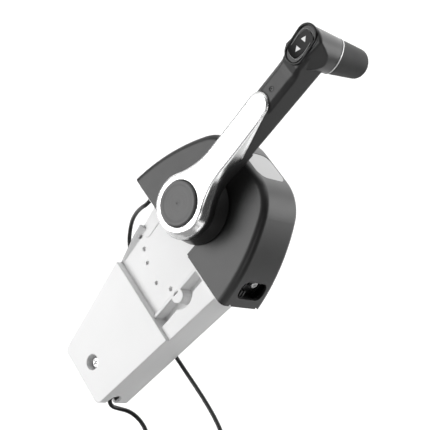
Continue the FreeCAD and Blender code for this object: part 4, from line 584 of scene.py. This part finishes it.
def make_button():
    """The button's turned face and cup, in place of the plain solid."""
    def place(radius, height, angle):
        return (SHAFT_X + radius * math.cos(angle), height, SHAFT_Z + radius * math.sin(angle))

    button = turned("button_face", button_outline(), place, "button_rubber", BUTTON_STEPS)
    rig.ride(button, "button")
    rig.replaces(button, "hub_button")
    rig.slot(button, "button_rubber")


def on_head(point):
    """A point drawn round x = 0, z = 0, tilted and moved to the switch's place."""
    return Matrix.Rotation(math.radians(-SWITCH_TILT), 3, "Y") @ Vector(point) + SWITCH_AT


def lip(name, size, corner, y, radius, look):
    """A round lip along the edge of a rounded opening in the head."""
    half_height, half_width = size[0] / 2 - corner, size[1] / 2 - corner
    points = []
    for quarter, (side, end) in enumerate(((1, 1), (-1, 1), (-1, -1), (1, -1))):
        for k in range(CORNER_STEPS + 1):
            angle = math.pi / 2 * (quarter + k / CORNER_STEPS)
            points.append((side * half_width + corner * math.cos(angle), y,
                           end * half_height + corner * math.sin(angle)))
    data = bpy.data.curves.new(name, "CURVE")
    data.dimensions = "3D"
    spline = data.splines.new("POLY")
    spline.points.add(len(points) - 1)
    for target, point in zip(spline.points, points):
        target.co = (*(on_head(point) * MM), 1.0)
    spline.use_cyclic_u = True
    data.bevel_depth = radius * MM
    data.bevel_resolution = LIP_RESOLUTION
    data.materials.append(looks[look])
    ring = bpy.data.objects.new(name, data)
    bpy.context.scene.collection.objects.link(ring)
    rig.ride(ring, "lever")
    if look in slot_of.values():
        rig.slot(ring, look)


def dish(z):
    """Level of the rocker's hollow face at a height from its middle."""
    reach = ROCKER_HALF ** 2 / (2 * ROCKER_SAG)
    return ROCKER_Y + ROCKER_SAG - z * z / (2 * reach)


def make_mark(name, way):
    """A plain triangle laid on the rocker's hollow face, pointing up or down."""
    vertices = []
    for row in range(TRIANGLE_ROWS + 1):
        share = row / TRIANGLE_ROWS
        z = way * (TRIANGLE_Z - TRIANGLE_HEIGHT / 2 + TRIANGLE_HEIGHT * share)
        half = max(TRIANGLE_WIDTH / 2 * (1 - share), TRIANGLE_TIP)
        for x in (-half, half):
            for lift in (TRIANGLE_T, -TRIANGLE_T):
                vertices.append(on_head((x, dish(z) - lift, z)))
    last = 4 * TRIANGLE_ROWS
    faces = [(0, 1, 3, 2)]
    for a in range(0, last, 4):
        b = a + 4
        faces += [(a, a + 2, b + 2, b), (a + 1, b + 1, b + 3, a + 3),
                  (a, b, b + 1, a + 1), (a + 2, a + 3, b + 3, b + 2)]
    faces.append((last, last + 2, last + 3, last + 1))
    mark = new_piece(name, vertices, faces, "mark_white", smooth=False)
    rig.ride(mark, "rocker")


def make_tie(name, centre, radius, diameter, degrees):
    """A nylon band closed round the wound turns at one angle of the coil."""
    angle = math.radians(degrees)
    out = Vector((math.cos(angle), 0.0, math.sin(angle)))
    along = Vector((-math.sin(angle), 0.0, math.cos(angle)))
    across = Vector((0.0, 1.0, 0.0))
    middle = Vector(centre) + out * radius * COIL_REACH
    inner = diameter * TIE_INNER_R
    outer, edge = inner + TIE_T, inner + TIE_T * TIE_EDGE
    half = TIE_WIDTH / 2
    outline = [(inner, -half), (inner, half), (edge, half), (outer, half * TIE_EDGE),
               (outer, -half * TIE_EDGE), (edge, -half)]

    def place(r, h, turn):
        return middle + out * r * math.cos(turn) + across * r * math.sin(turn) + along * h

    tie = turned(name, outline, place, "clip_plastic", TIE_STEPS)
    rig.ride(tie, "housing")
    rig.slot(tie, "clip_plastic")


make_button()
lip("bezel_lip", BEZEL_SIZE, BEZEL_CORNER_R, BEZEL_LIP_Y, BEZEL_LIP_R, "bezel_black")
# The well lip round the rocker is grey as a painted highlight: a light line along its edge
lip("well_lip", WELL_SIZE, WELL_CORNER_R, WELL_LIP_Y, WELL_LIP_R, "lip_grey")
make_mark("rocker_mark_up", 1.0)
make_mark("rocker_mark_down", -1.0)
for stem, diameter, _, coil_at, coil_r in LEADS:
    for k, degrees in enumerate(TIE_ANGLES):
        make_tie(f"{stem}_tie_{k}", coil_at, coil_r, diameter, degrees)

# Studio in metres: a pale square floor far enough below to show no shadow, as in the photograph
FLOOR_DROP = 0.62
FLOOR_LEVEL = cad_box[0][2] - FLOOR_DROP
FLOOR_HALF = 12.0
FLOOR_TONES = (0.22, 0.96)
FLOOR_ROUGH = 0.7
# Painted shade on the floor: grey patches beside the object, outside the camera's view, which darken its reflections:
# middle, grey radius, outer radius
FLOOR_PAINTED_SHADE = (((1.6, 0.2, FLOOR_LEVEL), 1.5, 2.1),
              ((-2.3, -0.2, FLOOR_LEVEL), 0.75, 1.4),
              ((0.0, -8.5, FLOOR_LEVEL), 7.9, 8.6))
# Soft lamps: name, direction from the origin, distance, watts and size
LAMPS = (("front", (-0.42, -0.82, -0.33), 1.25, 11.4, 1.05),
         ("strip", (0.25, -0.88, -0.38), 1.3, 1.7, 0.5),
         ("side", (0.90, 0.15, -0.38), 1.3, 1.0, 0.6))
# Surround: its level in front, its lighter back, patches that darken it by a share, and brighter ones.
# Each row: direction, half angle of the full patch, half angle where it ends, and strength
SURROUND_FRONT = 0.38
SURROUND_BACK = ((-0.68, 0.73, 0.1), 58.0, 84.0, 0.76)
SURROUND_DARKER = (((0.88, -0.48, 0.0), 48.0, 85.0, -0.85),
                   ((-0.97, 0.15, -0.16), 12.0, 32.0, -0.6))
SURROUND_BRIGHTER = (((-0.45, 0.1, 0.89), 15.0, 46.0, 1.45),
                     ((-0.45, 0.80, 0.40), 10.0, 32.0, 0.8),
                     ((0.36, 0.76, 0.54), 8.0, 27.0, 2.9),
                     ((0.78, -0.60, 0.10), 5.0, 16.0, 2.2))


def floor_paper_painted_shade():
    """Pale paper with painted shade: it turns softly greyer in round patches beside the object, which darkens the
    object's reflections.
    """
    material, tree, bsdf, place = shader("floor_paper_painted_shade")
    pale = None
    for centre, grey_r, pale_r in FLOOR_PAINTED_SHADE:
        away = tree.nodes.new("ShaderNodeVectorMath")
        away.operation = "DISTANCE"
        away.inputs[1].default_value = centre
        tree.links.new(place.outputs["Object"], away.inputs[0])
        fade = tree.nodes.new("ShaderNodeMapRange")
        fade.interpolation_type = "SMOOTHSTEP"
        fade.inputs["From Min"].default_value = grey_r
        fade.inputs["From Max"].default_value = pale_r
        tree.links.new(away.outputs["Value"], fade.inputs["Value"])
        beside = fade.outputs["Result"]
        pale = beside if pale is None else combine(tree, pale, beside, "MULTIPLY")
    # The grey tone is the painted shade of the patches, the white is the paper's own tone
    grey, white = ((tone, tone, tone) for tone in FLOOR_TONES)
    tree.links.new(ramp(tree, pale, grey, white, 0.0, 1.0), bsdf.inputs["Base Color"])
    bsdf.inputs["Roughness"].default_value = FLOOR_ROUGH
    return material


def make_floor():
    """A square of paper under the object, marked as stage."""
    corners = [(x * FLOOR_HALF, y * FLOOR_HALF, FLOOR_LEVEL) for x, y in ((-1, -1), (1, -1), (1, 1), (-1, 1))]
    mesh = bpy.data.meshes.new("floor")
    mesh.from_pydata(corners, [], [(0, 1, 2, 3)])
    floor = bpy.data.objects.new("floor", mesh)
    bpy.context.scene.collection.objects.link(floor)
    floor.data.materials.append(floor_paper_painted_shade())
    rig.stage(floor)


def soft_lamp(name, direction, distance, power, size):
    """A round soft lamp that the camera doesn't see, turned to the frame's origin."""
    data = bpy.data.lights.new(name, "AREA")
    data.shape = "DISK"
    data.size = size
    data.energy = power
    lamp = bpy.data.objects.new(name, data)
    bpy.context.scene.collection.objects.link(lamp)
    lamp.visible_camera = False
    away = Vector(direction).normalized()
    lamp.location = away * distance
    lamp.rotation_mode = "QUATERNION"
    lamp.rotation_quaternion = (-away).to_track_quat("-Z", "Y")


def lobe(tree, direction, inner, outer, value):
    """A round patch of the surround: full inside one angle from its middle, gone outside the other."""
    place = tree.nodes.new("ShaderNodeTexCoord")
    dot = tree.nodes.new("ShaderNodeVectorMath")
    dot.operation = "DOT_PRODUCT"
    dot.inputs[1].default_value = Vector(direction).normalized()
    tree.links.new(place.outputs["Generated"], dot.inputs[0])
    fade = tree.nodes.new("ShaderNodeMapRange")
    fade.interpolation_type = "SMOOTHSTEP"
    fade.inputs["From Min"].default_value = math.cos(math.radians(outer))
    fade.inputs["From Max"].default_value = math.cos(math.radians(inner))
    fade.inputs["To Min"].default_value = 0.0
    fade.inputs["To Max"].default_value = value
    tree.links.new(dot.outputs["Value"], fade.inputs["Value"])
    return fade.outputs["Result"]


def make_world():
    """The surround: an even level with softly fading darker and brighter patches."""
    world = bpy.data.worlds.new("studio")
    world.use_nodes = True
    tree = world.node_tree
    background = tree.nodes["Background"]
    background.inputs["Color"].default_value = (1.0, 1.0, 1.0, 1.0)
    level = combine(tree, lobe(tree, *SURROUND_BACK), SURROUND_FRONT)
    for patch in SURROUND_DARKER:
        level = combine(tree, level, combine(tree, lobe(tree, *patch), 1.0), "MULTIPLY")
    for patch in SURROUND_BRIGHTER:
        level = combine(tree, level, lobe(tree, *patch))
    tree.links.new(level, background.inputs["Strength"])
    bpy.context.scene.world = world


make_floor()
make_world()
for lamp in LAMPS:
    soft_lamp(*lamp)
bpy.context.scene.view_settings.view_transform = "Standard"

bpy.context.view_layer.update()
shown_box = [list(corner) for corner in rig.bounds()]
with open("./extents.json", "w") as out:
    json.dump({"cad": cad_box, "visual": shown_box}, out)
